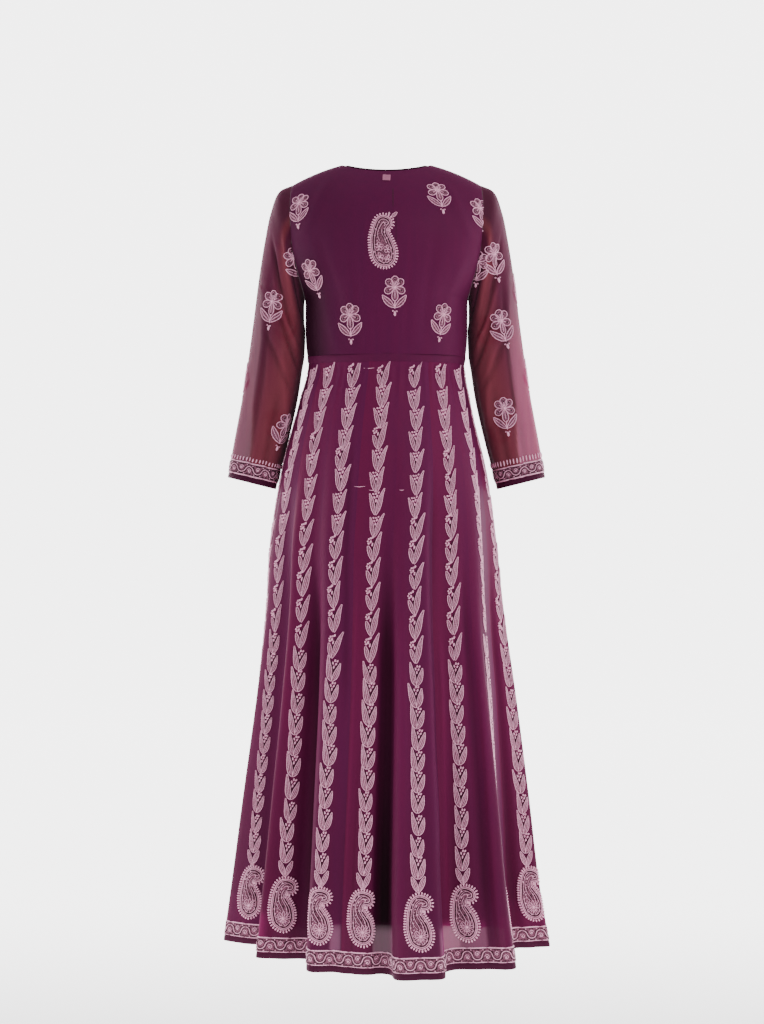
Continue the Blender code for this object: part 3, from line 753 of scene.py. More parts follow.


# Painted shade and light: how much darker the kalis are painted in their tucks and low down, and how much
# lighter near the waist. The painted shade is narrower than the tuck. Across each kali the tone turns,
# and every second kali is a little redder.
TUCK_SHADE = 60.0
TUCK_SHADE_WIDTH = 0.62
TUCK_LIMITS = (-0.12, 0.66)
HEM_SHADE = 0.28
WAIST_LIGHT = 0.07
TONE_TURN = 0.45
TONE_CHANGE = 0.12
shade_folds = [(*fold[:4], fold[4] * TUCK_SHADE_WIDTH, fold[5]) for fold in SKIRT_FOLDS]
HEM_TURNING_TOP = 1 - HEM_TURNING / (SKIRT_TOP - HEM_BACK)
KALI_COLUMNS = 20
KALI_ROWS = 170
kali_down = np.linspace(0, 1, KALI_ROWS + 1) * HEM_TURNING_TOP
kali_cloths, kali_points = [], []
for number in range(1, KALIS + 1):
    across = number + np.linspace(-0.5, 0.5, KALI_COLUMNS + 1)
    points = cloth_grid(gathered_skirt, across, kali_down, SKIRT_FOLDS, around=KALIS)
    kali, fall = np.meshgrid(across, kali_down, indexing="ij")
    thin = thinness(kali, fall)
    # Depth is painted shade in the tucks and low down, and painted light near the waist and in the thin
    # panes
    depth = np.clip(-TUCK_SHADE * pulled(kali, fall, shade_folds, KALIS), *TUCK_LIMITS)
    depth = depth + HEM_SHADE * eased((fall - 0.55) / 0.35) - WAIST_LIGHT * eased((0.3 - fall) / 0.2)
    cloth = grid_piece(
        f"kali_{number:02d}_cloth", points, sheer_georgette,
        tone=TONE_TURN * (number + 0.2 - kali) + TONE_CHANGE * (-1) ** number,
        depth=depth - PANE_PAINTED_LIGHT * thin * (fall > PANE_TOP), thin=thin,
    )
    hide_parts(f"kali_{number:02d}")
    kali_cloths.append(cloth)
    kali_points.append(points)

# ---- The skirt's lining --------------------------------------------------------------------------
# An opaque slip of dark crepe that falls in the kalis' folds, a finger's breadth inside them, and ends
# 150 mm above their hem.

LINING_END = -1.200
LINING_FOLLOWS = 0.7
lining_top_share = (LINING_END - SKIRT_TOP) / (HEM_BACK - SKIRT_TOP)
lining_folds = [(*fold[:5], fold[5] * LINING_FOLLOWS) for fold in SKIRT_FOLDS]


def lining(kali, down):
    """The outer face of the lining. Down is 0 at the waist strip and 1 at the skirt's own hem."""
    points = skirt(kali, down)
    inset = read_sections(SKIRT_SECTIONS, points[..., 2])[5]
    points[..., :2] *= (1 - inset / np.linalg.norm(points[..., :2], axis=-1))[..., None]
    return points


lining_crepe = georgette("lining_crepe", (0.050, 0.003, 0.020), (0.034, 0.004, 0.020), 1.0, roughness=0.5)
lining_down = np.linspace(0, 1, 71) * lining_top_share
for name, first in (("lining_back", 0.0), ("lining_front", KALIS / 2)):
    across = first + np.linspace(0, KALIS / 2, 121)
    slip_points = cloth_grid(lining, across, lining_down, lining_folds, around=KALIS)
    slip = grid_piece(f"{name}_cloth", slip_points, lining_crepe)
    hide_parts(name)

# ---- Hem and cuff turnings -----------------------------------------------------------------------
# Below the worked borders the cloth is turned up once, 11 mm deep at the hem and 9 mm at the cuffs, and
# slip-stitched. Two layers make the strip darker than the single cloth, and its fold is soft.

TURNING_THICKNESS = 0.0011

# Share of the way down, and how far out in half thicknesses, down the outer layer and up the inner one
TURNING_PROFILE = (
    (0.00, 0.0), (0.35, 1.0), (0.70, 1.0), (0.93, 0.8), (1.00, 0.0),
    (0.93, -0.8), (0.70, -1.0), (0.35, -1.0), (0.00, -0.4),
)
turning_georgette = georgette("turning_georgette", (0.055, 0.004, 0.022), (0.040, 0.004, 0.020), 0.97)


def folded_strip(name, outer, first_down, last_down, across, closed=False):
    """A strip of double cloth between two places down a surface, with a rounded fold at its foot."""
    down = np.array([first_down + (last_down - first_down) * share for share, _ in TURNING_PROFILE])
    lift = np.array([side for _, side in TURNING_PROFILE]) * TURNING_THICKNESS / 2
    u, v = np.meshgrid(across, down, indexing="ij")
    points = outer(u, v) + outward(outer, u, v) * (lift - TURNING_THICKNESS / 2)[None, :, None]
    return grid_piece(name, points, turning_georgette, closed=closed)


def creased_skirt(kali, down):
    """The skirt's outer face with all its folds."""
    folds = pulled(kali, down, SKIRT_FOLDS, KALIS)[..., None]
    return gathered_skirt(kali, down) + outward(skirt, kali, down) * folds


for number in range(4):
    across = 0.5 + 4 * number + np.linspace(0, 4, 4 * KALI_COLUMNS + 1)
    strip = folded_strip(f"hem_turning_{number + 1}_cloth", creased_skirt, HEM_TURNING_TOP, 1.0, across)
    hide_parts(f"hem_turning_{number + 1}")
for side, hand in (("left", 1), ("right", -1)):
    strip = folded_strip(
        f"cuff_turning_{side}_cloth", lambda u, v, hand=hand: sleeve(u, v, hand), CUFF_TURNING_TOP, 1.0,
        sleeve_around, closed=True,
    )
    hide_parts(f"cuff_turning_{side}")

# ---- Neck binding --------------------------------------------------------------------------------
# A narrow bias strip rolled over the neck's raw edge, near black. It runs right round the neck, over
# both shoulders, and stands up a little from the cloth.

BINDING_RADIUS = 0.0016
BINDING_SIDES = 8
NECK_MARGIN = 0.01
at_neck = np.abs(yoke_across) <= NECK_SHARE + NECK_MARGIN
neck_line, neck_down = (
    np.concatenate((back_points[at_neck, row][:-1], front_points[at_neck, row][:-1])) for row in (0, 1)
)
neck_into = neck_down - neck_line
for _ in range(3):
    neck_line = (np.roll(neck_line, 1, axis=0) + 2 * neck_line + np.roll(neck_line, -1, axis=0)) / 4
neck_along = np.roll(neck_line, -1, axis=0) - np.roll(neck_line, 1, axis=0)
neck_along /= np.linalg.norm(neck_along, axis=-1, keepdims=True)
neck_up = neck_into - neck_along * np.sum(neck_into * neck_along, -1, keepdims=True)
neck_up /= -np.linalg.norm(neck_up, axis=-1, keepdims=True)
neck_side = np.cross(neck_along, neck_up)
binding_points = []
for step in range(BINDING_SIDES + 1):
    turn = 2 * math.pi * (step % BINDING_SIDES) / BINDING_SIDES
    binding_points.append(neck_line + BINDING_RADIUS * (
        (0.35 + 1.25 * math.cos(turn)) * neck_up + 0.75 * math.sin(turn) * neck_side
    ))
bias_strip = georgette("binding_cloth", (0.018, 0.002, 0.007), (0.014, 0.002, 0.007), 1.0, roughness=0.5)
binding = grid_piece("neck_binding_cloth", np.stack(binding_points, 1), bias_strip, closed=True)
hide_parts("neck_binding")

# ---- Thread work: how it is laid -----------------------------------------------------------------
# All the flowers, garlands and borders are worked by hand in pale untwisted cotton, raised on the cloth:
# stem stitch round each shape, net stitch inside it, small knots, and here and there a dark wine line
# that is partly thread colour and partly painted shadow.
# Each is drawn flat, in metres, x to the right and y up, and then laid on its cloth without stretching.

# The third, dark wine thread is partly painted shadow in the partings and gaps of the pale work
BRIGHT, NET, WINE_SHADOW = 0, 1, 2
MM = 0.001

# Widths of the common threads, how far they stand off the cloth and off net stitch, and a knot's shape
OUTLINE_THREAD = 0.0014
FINE_THREAD = 0.0010
VEIN_THREAD = 0.0008
OVER_CLOTH = 0.0003
OVER_NET = 0.0006
KNOT_SIDES = 6
KNOT_CROWN = 0.75


def joined(parts):
    """Several flat works as one: (points, triangles, which thread each triangle is)."""
    points, triangles, threads, count = [], [], [], 0
    for part_points, part_triangles, part_threads in parts:
        points.append(part_points)
        triangles.append(part_triangles + count)
        threads.append(part_threads)
        count += len(part_points)
    return np.concatenate(points), np.concatenate(triangles), np.concatenate(threads)


def moved(work, shift=(0.0, 0.0), turn=0.0, size=1.0):
    """A flat work enlarged, turned anticlockwise in degrees, and shifted."""
    points, triangles, threads = work
    points = points.copy()
    turn = math.radians(turn)
    x, y = points[:, 0] * size, points[:, 1] * size
    points[:, 0] = x * math.cos(turn) - y * math.sin(turn) + shift[0]
    points[:, 1] = x * math.sin(turn) + y * math.cos(turn) + shift[1]
    return points, triangles, threads


def curl(points, count):
    """A smooth flat line through a few points in millimetres."""
    points = np.asarray(points, float) * MM
    return curve_through(np.linspace(0, 1, len(points)), points, np.linspace(0, 1, count))


def stem(line, width, height, closed=False, base=OVER_CLOTH, kind=BRIGHT):
    """A raised row of stitches along a flat line. Every second stitch sits a little lower."""
    line = np.asarray(line, float)
    if closed:
        along = np.roll(line, -1, axis=0) - np.roll(line, 1, axis=0)
    else:
        along = np.gradient(line, axis=0)
    along /= np.linalg.norm(along, axis=-1, keepdims=True) + 1e-9
    side = np.stack((-along[:, 1], along[:, 0]), -1) * width / 2
    crest = np.full(len(line), height + base)
    crest[1::2] -= 0.2 * height
    if not closed:
        side[[0, -1]] *= 0.4
        crest[[0, -1]] = base + height * 0.3
    foot = np.full(len(line), base)
    points = np.stack((
        np.column_stack((line + side, foot)),
        np.column_stack((line, crest)),
        np.column_stack((line - side, foot)),
    ), 1).reshape(-1, 3)
    count = len(line)
    start = np.arange(count if closed else count - 1)
    after = (start + 1) % count
    triangles = []
    for strip in (0, 1):
        a, b = 3 * start + strip, 3 * start + strip + 1
        c, d = 3 * after + strip + 1, 3 * after + strip
        triangles += [np.stack((a, b, c), -1), np.stack((a, c, d), -1)]
    triangles = np.concatenate(triangles)
    return points, triangles, np.full(len(triangles), kind)


def stroke(points, steps, **thread):
    """A raised row of stitches along a smooth line through a few points in millimetres."""
    return stem(curl(points, steps), **thread)


def knot(x, y, radius, height, stretch=1.0, turn=0.0, kind=BRIGHT):
    """A small knot or seed stitch. Its place and radius are in millimetres."""
    turns = np.arange(KNOT_SIDES) * 2 * math.pi / KNOT_SIDES
    ring = np.column_stack((np.cos(turns) * stretch, np.sin(turns))) * radius
    points = np.concatenate((
        np.column_stack((ring, np.zeros(KNOT_SIDES))),
        np.column_stack((ring * KNOT_CROWN, np.full(KNOT_SIDES, height * 0.8))),
        [[0.0, 0.0, height]],
    ))
    turn = math.radians(turn)
    across = points[:, 0] * math.cos(turn) - points[:, 1] * math.sin(turn)
    up = points[:, 0] * math.sin(turn) + points[:, 1] * math.cos(turn)
    points[:, 0], points[:, 1] = (x + across) * MM, (y + up) * MM
    here = np.arange(KNOT_SIDES)
    after = (here + 1) % KNOT_SIDES
    over, over_after, top = here + KNOT_SIDES, after + KNOT_SIDES, 0 * here + 2 * KNOT_SIDES
    triangles = np.concatenate((
        np.stack((here, after, over_after), -1),
        np.stack((here, over_after, over), -1),
        np.stack((over, over_after, top), -1),
    ))
    return points, triangles, np.full(len(triangles), kind)


def knots(*rows):
    """Knots given by their x, y, radius and height, and where they need it their stretch and turn."""
    return joined([knot(*row) for row in rows])


def filling(left, right, strips=2):
    """Net stitch between two flat lines with the same number of points, in strips side by side."""
    left, right = np.asarray(left, float), np.asarray(right, float)
    count = len(left)
    rows = []
    for share in np.linspace(0, 1, strips + 1):
        lift = OVER_NET if 0 < share < 1 else 0.7 * OVER_NET
        rows.append(np.column_stack((left * (1 - share) + right * share, np.full(count, lift))))
    points = np.stack(rows, 1).reshape(-1, 3)
    row = strips + 1
    start = np.arange(count - 1) * row
    triangles = []
    for strip in range(strips):
        a, b = start + strip, start + strip + 1
        triangles += [np.stack((a, b + row, a + row), -1), np.stack((a, b, b + row), -1)]
    triangles = np.concatenate(triangles)
    return points, triangles, np.full(len(triangles), NET)


def blade(left, right, steps=9, lines=2):
    """A leaf between its two edges, each a few points in millimetres from its foot to its tip."""
    left, right = curl(left, steps), curl(right, steps)
    edge = np.concatenate((left, right[::-1]))
    works = [filling(left, right), stem(edge, width=OUTLINE_THREAD, height=0.0011, closed=True)]
    for line in range(1, lines + 1):
        share = line / (lines + 1)
        vein = (left * (1 - share) + right * share)[1:-1]
        works.append(stem(vein, width=VEIN_THREAD, height=0.0004, base=OVER_NET))
    return joined(works)


def chart(points, closed=False):
    """A cloth ready to be worked: its grid, the way out of it, and the lengths along each row and down
    each column. A closed cloth's columns run round twice."""
    if closed:
        points = np.concatenate((points, points, points[:1]))
    out = np.cross(np.gradient(points, axis=1), np.gradient(points, axis=0))
    out /= np.linalg.norm(out, axis=-1, keepdims=True)
    step = np.linalg.norm(np.diff(points, axis=0), axis=-1)
    run = np.concatenate((np.zeros_like(step[:1]), np.cumsum(step, axis=0)))
    step = np.linalg.norm(np.diff(points, axis=1), axis=-1)
    fall = np.concatenate((np.zeros_like(step[:, :1]), np.cumsum(step, axis=1)), axis=1)
    return {"points": points, "out": out, "run": run, "fall": fall}


def read_grid(values, column, row):
    """A grid's values at places between its columns and rows."""
    i = np.clip(np.floor(column).astype(int), 0, values.shape[0] - 2)
    j = np.clip(np.floor(row).astype(int), 0, values.shape[1] - 2)
    a, b = column - i, row - j
    if values.ndim == 3:
        a, b = a[:, None], b[:, None]
    return (
        values[i, j] * (1 - a) * (1 - b) + values[i + 1, j] * a * (1 - b)
        + values[i, j + 1] * (1 - a) * b + values[i + 1, j + 1] * a * b
    )


def laid(cloth, column, row, work):
    """A flat work laid on a charted cloth, with its (0, 0) at a column and row of the cloth's grid. What
    would reach past the cloth's edges is cut off there."""
    flat, triangles, threads = work
    places = np.arange(cloth["fall"].shape[1])
    falls = cloth["fall"][int(round(column))]
    fall = np.interp(row, places, falls) - flat[:, 1]
    j = np.interp(fall, falls, places)
    i = np.full(len(flat), float(column))
    start = read_grid(cloth["run"], i, j)
    for _ in range(5):
        away = read_grid(cloth["run"], i, j) - start
        rate = read_grid(cloth["run"], i + 0.5, j) - read_grid(cloth["run"], i - 0.5, j)
        i = i + (flat[:, 0] - away) / rate
    points = read_grid(cloth["points"], i, j) + read_grid(cloth["out"], i, j) * flat[:, 2:]
    inside = (i >= 0) & (i <= len(cloth["run"]) - 1) & (fall >= 0) & (fall <= falls[-1])
    kept = inside[triangles].all(axis=1)
    return points, triangles[kept], threads[kept]


def laid_upright(cloth, column, row, work):
    """A small flat work laid so that its y runs straight up the cloth, also where the grid leans."""
    flat, triangles, threads = work
    points, i, j = cloth["points"], np.array([float(column)]), np.array([float(row)])
    here = read_grid(points, i, j)[0]
    out = read_grid(cloth["out"], i, j)[0]
    up = np.array((0.0, 0.0, 1.0)) - out * out[2]
    up /= np.linalg.norm(up)
    right = np.cross(up, out)
    column_step = (read_grid(points, i + 0.5, j) - read_grid(points, i - 0.5, j))[0]
    row_step = (read_grid(points, i, j + 0.5) - read_grid(points, i, j - 0.5))[0]
    way = np.linalg.inv(((column_step @ right, row_step @ right), (column_step @ up, row_step @ up)))
    wanted = flat[:, :2]
    place = np.array((float(column), float(row))) + wanted @ way.T
    for _ in range(6):
        away = read_grid(points, place[:, 0], place[:, 1]) - here
        reached = np.stack((away @ right, away @ up), -1)
        rounding = np.linalg.norm(away, axis=1) / (np.linalg.norm(reached, axis=1) + 1e-9)
        place = place + (wanted - reached * np.clip(rounding, 1, 1.5)[:, None]) @ way.T
    i, j = place.T
    inside = (i >= 0) & (i <= len(points) - 1) & (j >= 0) & (j <= points.shape[1] - 1)
    kept = inside[triangles].all(axis=1)
    points = read_grid(points, i, j) + read_grid(cloth["out"], i, j) * flat[:, 2:]
    return points, triangles[kept], threads[kept]


def thread_material(name, dark, pale, grain, roughness):
    """Untwisted cotton: the fine slant of its stitches runs from dark to pale."""
    material, tree, shader = new_material(name)
    place = add_node(tree, "TexCoord", out="Object")
    stitches = add_node(tree, "TexNoise", {"Vector": place, "Scale": grain, "Detail": 2.0})
    share = add_node(tree, "MapRange", {"Value": stitches, "From Min": 0.36, "From Max": 0.64})
    set_inputs(tree, shader, {
        "Base Color": mixed(tree, share, dark, pale),
        "Normal": add_node(tree, "Bump", {"Height": stitches, "Strength": 0.5, "Distance": RELIEF}),
        "Roughness": roughness, "Specular IOR Level": 0.2, "Sheen Weight": 0.1,
    })
    return material


# In the order of the bright, net and wine threads; the dark wine thread is partly painted shadow
THREADS = (
    thread_material("bright_cotton", (0.60, 0.24, 0.37), (0.97, 0.48, 0.68), 700.0, 0.55),
    thread_material("net_cotton", (0.070, 0.016, 0.036), (0.26, 0.085, 0.145), 520.0, 0.70),
    thread_material("wine_shadow_cotton", (0.020, 0.002, 0.008), (0.040, 0.004, 0.016), 800.0, 0.80),
)


def worked(name, works):
    """One piece of thread work from works already laid on their cloth."""
    points, triangles, threads = joined(works)
    used, triangles = np.unique(triangles, return_inverse=True)
    points, triangles = points[used], triangles.reshape(-1, 3)
    mesh = smooth_mesh(name, points.tolist(), triangles.tolist(), *THREADS)
    mesh.polygons.foreach_set("material_index", threads.astype(np.int32))
    piece = added(name, mesh)
    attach(piece, "root")
    return piece


# ---- The garlands --------------------------------------------------------------------------------
# One climbs each kali from its paisley to the waist: leafy sprays, each growing out of the one below.
# Low down they are pairs of leaves with a dark parting of painted shadow; from mid thigh a long leaf
# stands beside a short one with knots over it, and near the waist most of them are tulips.

GARLAND_FOOT = 0.128
FIRST_SPRAY = 0.0240
SPRAY_HEIGHT = 0.0450
LOWER_STEP = 0.0352
UPPER_STEP = 0.0420
WAIST_STEP = 0.0375
STEP_SPREAD = 0.03
WAIST_SHARE = 0.70
TULIP_CHANCE = 0.75
SIZE_SPREAD = 0.04
SWAY_SPREAD = 0.0007
TURN_SPREAD = 2.5

# The share of each kali's length, from the hem, at which the sprays change from the lower to the upper
SWITCH_SHARES = (
    0.51, 0.50, 0.49, 0.48, 0.49, 0.49, 0.50, 0.49, 0.48, 0.50, 0.51, 0.48, 0.49, 0.50, 0.48, 0.49,
)
# Dark wine lines: painted shadow in the partings between the leaves
WINE_SHADOW_LINE = {"width": 0.0018, "height": 0.0013, "kind": WINE_SHADOW}
BROAD_WINE_SHADOW_LINE = {"width": 0.0020, "height": 0.0014, "kind": WINE_SHADOW}

skirt_chart = chart(np.concatenate([points[:-1] for points in kali_points]), closed=True)
steady = np.random.default_rng(7)


def waist_spray():
    """A tulip: a tall leaf to the right, a shorter one to the left, and knots between them."""
    return joined((
        blade(((0.4, 0), (0.7, 9), (1.7, 18), (3.8, 27), (7.2, 35), (11.8, 43)),
              ((1.2, -0.6), (5.4, 6), (8.2, 14), (9.6, 23), (10.8, 33), (12.8, 43))),
        blade(((-1.4, 0), (-5.4, 6), (-8.0, 13), (-9.4, 20), (-10.4, 27), (-11.6, 34)),
              ((-0.4, -0.4), (-0.7, 7), (-1.8, 14), (-3.9, 21), (-6.8, 28), (-10.8, 34.4)), lines=1),
        stroke(((0.1, 4), (0.1, 11), (-0.4, 17), (-2.6, 24)), 7, **WINE_SHADOW_LINE),
        knots((-0.5, 22.6, 1.8, 0.0021, 1.8, 92), (-3.2, 28.0, 1.8, 0.0020, 1.4, 120),
              (1.2, 30.0, 1.8, 0.0021, 1.6, 70), (-5.3, 33.4, 1.7, 0.0020, 1.3, 140),
              (-1.2, 33.8, 1.8, 0.0020), (3.2, 35.8, 1.6, 0.0019, 1.5, 60)),
    ))


def upper_spray():
    """A long pointed leaf to the right, a short one to the left, and a curl of knots over that."""
    return joined((
        blade(((0.0, 0), (-0.6, 9), (0.2, 18), (2.2, 27), (6.0, 37), (11.6, 47)),
              ((1.0, -0.6), (5.2, 7), (8.4, 16), (9.8, 25), (11.0, 36), (12.8, 47))),
        blade(((-1.4, 0), (-5.4, 5), (-8.2, 11), (-9.8, 17.5), (-10.0, 24.0)),
              ((-0.9, 1.4), (-1.7, 8), (-2.6, 13.4), (-4.0, 18.6), (-8.0, 24.5)), steps=8, lines=1),
        stroke(((-0.4, 4), (-1.2, 11), (-1.4, 18), (-0.2, 27), (2.6, 36)), 9, **WINE_SHADOW_LINE),
        knots((-8.0, 28.2, 2.0, 0.0022), (-9.4, 31.8, 1.8, 0.0021), (-7.8, 35.4, 1.9, 0.0021),
              (-4.6, 36.6, 2.0, 0.0022), (-4.8, 31.0, 1.9, 0.0022, 1.6, 80),
              (-1.4, 38.6, 1.9, 0.0021, 1.5, 70), (-1.8, 26.6, 1.7, 0.0020, 2.1, 84)),
    ))


def lower_spray():
    """Two leaves side by side on one base, the left one taller, with a dark parting of painted shadow and
    curls between.
    """
    return joined((
        blade(((-2.0, -1.2), (-6.4, 2.4), (-9.2, 9), (-10.5, 18), (-11.0, 28), (-10.8, 38.5)),
              ((-0.2, -1.8), (-0.4, 6), (-1.1, 12.5), (-3.2, 20.5), (-6.4, 29), (-10.0, 38.5))),
        blade(((0.2, -1.8), (0.9, 5), (2.1, 10.5), (4.2, 16), (7.0, 21.8), (9.9, 28)),
              ((2.0, -1.3), (6.6, 1.8), (9.6, 7.4), (11.0, 14), (11.4, 21), (10.8, 28))),
        stroke(((0.1, 5), (0.0, 11), (-1.0, 18), (-3.6, 26), (-7.2, 33.5)), 9, **BROAD_WINE_SHADOW_LINE),
        stroke(((0.9, 11), (2.6, 16.6), (5.6, 22.6), (9.2, 28.8)), 7, **BROAD_WINE_SHADOW_LINE),
        knots((0.8, 20.6, 1.5, 0.0020, 2.0, 80), (3.8, 25.6, 1.6, 0.0021, 1.6, 58),
              (-1.2, 26.8, 1.5, 0.0020, 1.9, 105), (5.6, 30.6, 1.6, 0.0021, 1.5, 60),
              (1.8, 31.0, 1.7, 0.0021, 1.5, 85)),
    ))


def last_pair():
    """The even pair that stands on the paisley."""
    left = (
        ((-1.0, 0), (-7.0, 7), (-10.8, 16), (-11.6, 25.5)),
        ((-0.2, -0.6), (-0.6, 8), (-3.4, 18), (-10.0, 26)),
    )
    right = [[(-x, y) for x, y in edge] for edge in left[::-1]]
    notch = ((-10.8, 29), (-4.6, 21.5), (0, 14), (4.6, 21.5), (10.8, 29))
    parting = stroke(notch, 9, width=0.0016, height=0.0010, kind=WINE_SHADOW)
    return joined((blade(*left), blade(*right), parting))


waist_work, upper_work, lower_work, last_work = waist_spray(), upper_spray(), lower_spray(), last_pair()
garlands = {}
for number in range(1, KALIS + 1):
    column = (number - 0.5) * KALI_COLUMNS
    length = skirt_chart["fall"][int(column), -1]
    switch, waist = length * SWITCH_SHARES[number - 1], length * WAIST_SHARE
    climb, feet = GARLAND_FOOT + FIRST_SPRAY, []
    while climb < length - SPRAY_HEIGHT + UPPER_STEP / 2:
        feet.append(climb)
        step = UPPER_STEP if climb > switch else LOWER_STEP
        step = WAIST_STEP if climb > waist else step
        climb += step * (1 + STEP_SPREAD * steady.standard_normal())

    # The feet are spread so that the last spray just reaches the waist strip
    reach = length - SPRAY_HEIGHT - GARLAND_FOOT
    feet = GARLAND_FOOT + (np.array(feet) - GARLAND_FOOT) * reach / (feet[-1] - GARLAND_FOOT)
    works = [moved(last_work, (0.0, GARLAND_FOOT))]
    for foot in feet:
        spray = upper_work if foot > switch else lower_work
        spray = waist_work if foot > waist and steady.random() < TULIP_CHANCE else spray
        size = float(np.clip(1 + SIZE_SPREAD * steady.standard_normal(), 0.92, 1.08))
        sway = SWAY_SPREAD * steady.standard_normal()
        works.append(moved(spray, (sway, foot), turn=TURN_SPREAD * steady.standard_normal(), size=size))
    work = laid(skirt_chart, column, KALI_ROWS, joined(works))
    garlands[number] = worked(f"garland_{number:02d}", [work])

# ---- The paisleys --------------------------------------------------------------------------------
# One stands at the foot of each kali, 100 mm tall, its head curled to the right: a ring of seed stitches,
# a double outline with a dark wine line inside it, partly thread colour and partly painted shadow, and
# tendrils round a heart of petals within. The yoke has one of its own between the shoulders, with a leaf
# over its head and roses within.

PAISLEY_FOOT = 0.031
PAISLEY_TURN_SPREAD = 2.0
SKIRT_PAISLEY = (
    (3.7, 7), (13.3, 11.4), (18.5, 20), (20.1, 31), (16.4, 46), (10.1, 56), (4.9, 64), (3.9, 71),
    (8.6, 69.5), (16.4, 71.3), (19.7, 78.5), (15.6, 88), (2.7, 93), (-7.9, 89.6), (-14.3, 80.7),
    (-18.2, 68), (-20.1, 50), (-20.1, 36), (-15, 18), (-6.8, 10.4),
)
YOKE_PAISLEY = (
    (4.3, 7), (14, 11), (19.4, 21), (19.4, 34), (15, 48), (8.6, 60.8), (5.6, 68.4), (10.8, 72),
    (14, 80), (9.7, 88.8), (-1, 93), (-10.8, 88.8), (-16, 79), (-19.4, 67.3), (-22, 54.4),
    (-21.5, 39.3), (-19.5, 26), (-15, 15.6), (-6.5, 8.5),
)

# Where the head of each ends, as a point of its outline, its number of seeds, and how far out they stand
SKIRT_BODY = (8, 56, 3.3)
YOKE_BODY = (7, 52, 2.6)

# The lines inside the outline: how far in, in millimetres, width, height and thread
INNER_LINES = (
    (2.6, 0.0012, 0.0012, BRIGHT),
    (4.4, 0.0020, 0.0015, WINE_SHADOW),
    (6.4, 0.0011, 0.0013, BRIGHT),
    (8.2, 0.0013, 0.0012, WINE_SHADOW),
)
INNER_SEEDS = 34
INNER_SEEDS_INSET = 10.0


def ray(angle, reach, heart=(0.0, 0.0)):
    """The place at a reach from a heart, at an angle in degrees."""
    turn = math.radians(angle)
    return heart[0] + reach * math.cos(turn), heart[1] + reach * math.sin(turn)


def outline_at(outline, inset, count):
    """Evenly spaced places round a closed outline, drawn in by an inset, in millimetres, and their ways
    out."""
    outline = np.asarray(outline, float)
    ring = np.concatenate((outline[-3:], outline, outline[:4]))
    places = np.arange(-3, len(outline) + 4)
    dense = curve_through(places, ring, np.linspace(0, len(outline), 40 * len(outline) + 1))
    run = np.concatenate(([0], np.cumsum(np.linalg.norm(np.diff(dense, axis=0), axis=1))))
    even = np.linspace(0, run[-1], count, endpoint=False)
    line = np.column_stack([np.interp(even, run, dense[:, axis]) for axis in (0, 1)])
    along = np.roll(line, -1, axis=0) - np.roll(line, 1, axis=0)
    along /= np.linalg.norm(along, axis=1, keepdims=True)
    away = np.column_stack((along[:, 1], -along[:, 0]))
    line = line - away * inset
    for _ in range(int(inset)):
        line = (np.roll(line, 1, axis=0) + 2 * line + np.roll(line, -1, axis=0)) / 4
    return line, away


def petal(angle, length, width, heart=(0.0, 0.0), start=0.12, hatch=True):
    """An oval petal that grows from near a heart: a thread round it, and net and a line inside it."""
    t = np.linspace(0, 1, 7)
    half = width / 2 * np.sin(math.pi * (0.07 + 0.88 * t ** 1.6)) ** 0.6
    along = length * (start + (1 - start) * t)
    turn = math.radians(angle)
    way, side = np.array([math.cos(turn), math.sin(turn)]), np.array([-math.sin(turn), math.cos(turn)])
    middle = np.asarray(heart) + along[:, None] * way
    left, right = (middle + half[:, None] * side) * MM, (middle - half[:, None] * side) * MM
    edge = np.concatenate((left, right[::-1]))
    works = [stem(edge, width=OUTLINE_THREAD, height=0.0012, closed=True)]
    if hatch:
        one, other = left[1:-1], right[1:-1]
        works.append(filling(one * 0.9 + other * 0.1, one * 0.1 + other * 0.9))
        works.append(stem((left + right)[:6] / 2, width=FINE_THREAD, height=0.0004, base=OVER_NET))
    return joined(works)


def spiral(x, y, radius, turns, start, count, width, kind=BRIGHT, hand=1, shrink=0.25):
    """A curled tendril in millimetres that winds in toward its centre."""
    t = np.linspace(0, 1, count)
    angle = np.radians(start) + hand * 2 * math.pi * turns * t
    reach = radius * (1 - (1 - shrink) * t)
    line = np.column_stack((x + reach * np.cos(angle), y + reach * np.sin(angle))) * MM
    return stem(line, width=width, height=0.0010 if kind == BRIGHT else 0.0008, kind=kind)


def paisley_body(outline, notch, seeds, reach):
    """A ring of seed stitches, the outlines, and net ground under all. The notch says which point of the
    outline the head ends at, and reach how far out the seeds' middles stand."""
    works = []
    for place, way in zip(*outline_at(outline, 0.0, seeds)):
        turn = math.degrees(math.atan2(way[1], way[0]))
        works.append(knot(*(place + reach * way), 1.52, 0.0022, stretch=1.75, turn=turn))

    # The net runs in strips between the outline's two sides, from its foot to the end of the head
    count = 2 * seeds
    ring = outline_at(outline, 0.3, count)[0]
    end = int(np.argmin(np.linalg.norm(ring - np.asarray(outline[notch]), axis=1)))
    steps = np.linspace(0, 1, 24)
    closed_ring = np.concatenate((ring, ring[:1]))
    around = np.arange(count + 1)
    left, right = (
        np.column_stack([np.interp(places, around, closed_ring[:, axis]) for axis in (0, 1)])
        for places in (count - steps * (count - end), steps * end)
    )
    works.append(filling(left * MM, right * MM, strips=8))
    works.append(stem(ring * MM, width=0.0016, height=0.0012, closed=True))
    for inset, width, height, kind in INNER_LINES:
        line = outline_at(outline, inset, count)[0]
        works.append(stem(line * MM, width=width, height=height, closed=True, kind=kind))
    for place, way in zip(*outline_at(outline, INNER_SEEDS_INSET, INNER_SEEDS)):
        turn = math.degrees(math.atan2(way[1], way[0])) + 65
        works.append(knot(*place, 0.8, 0.0014, stretch=1.9, turn=turn))
    return works


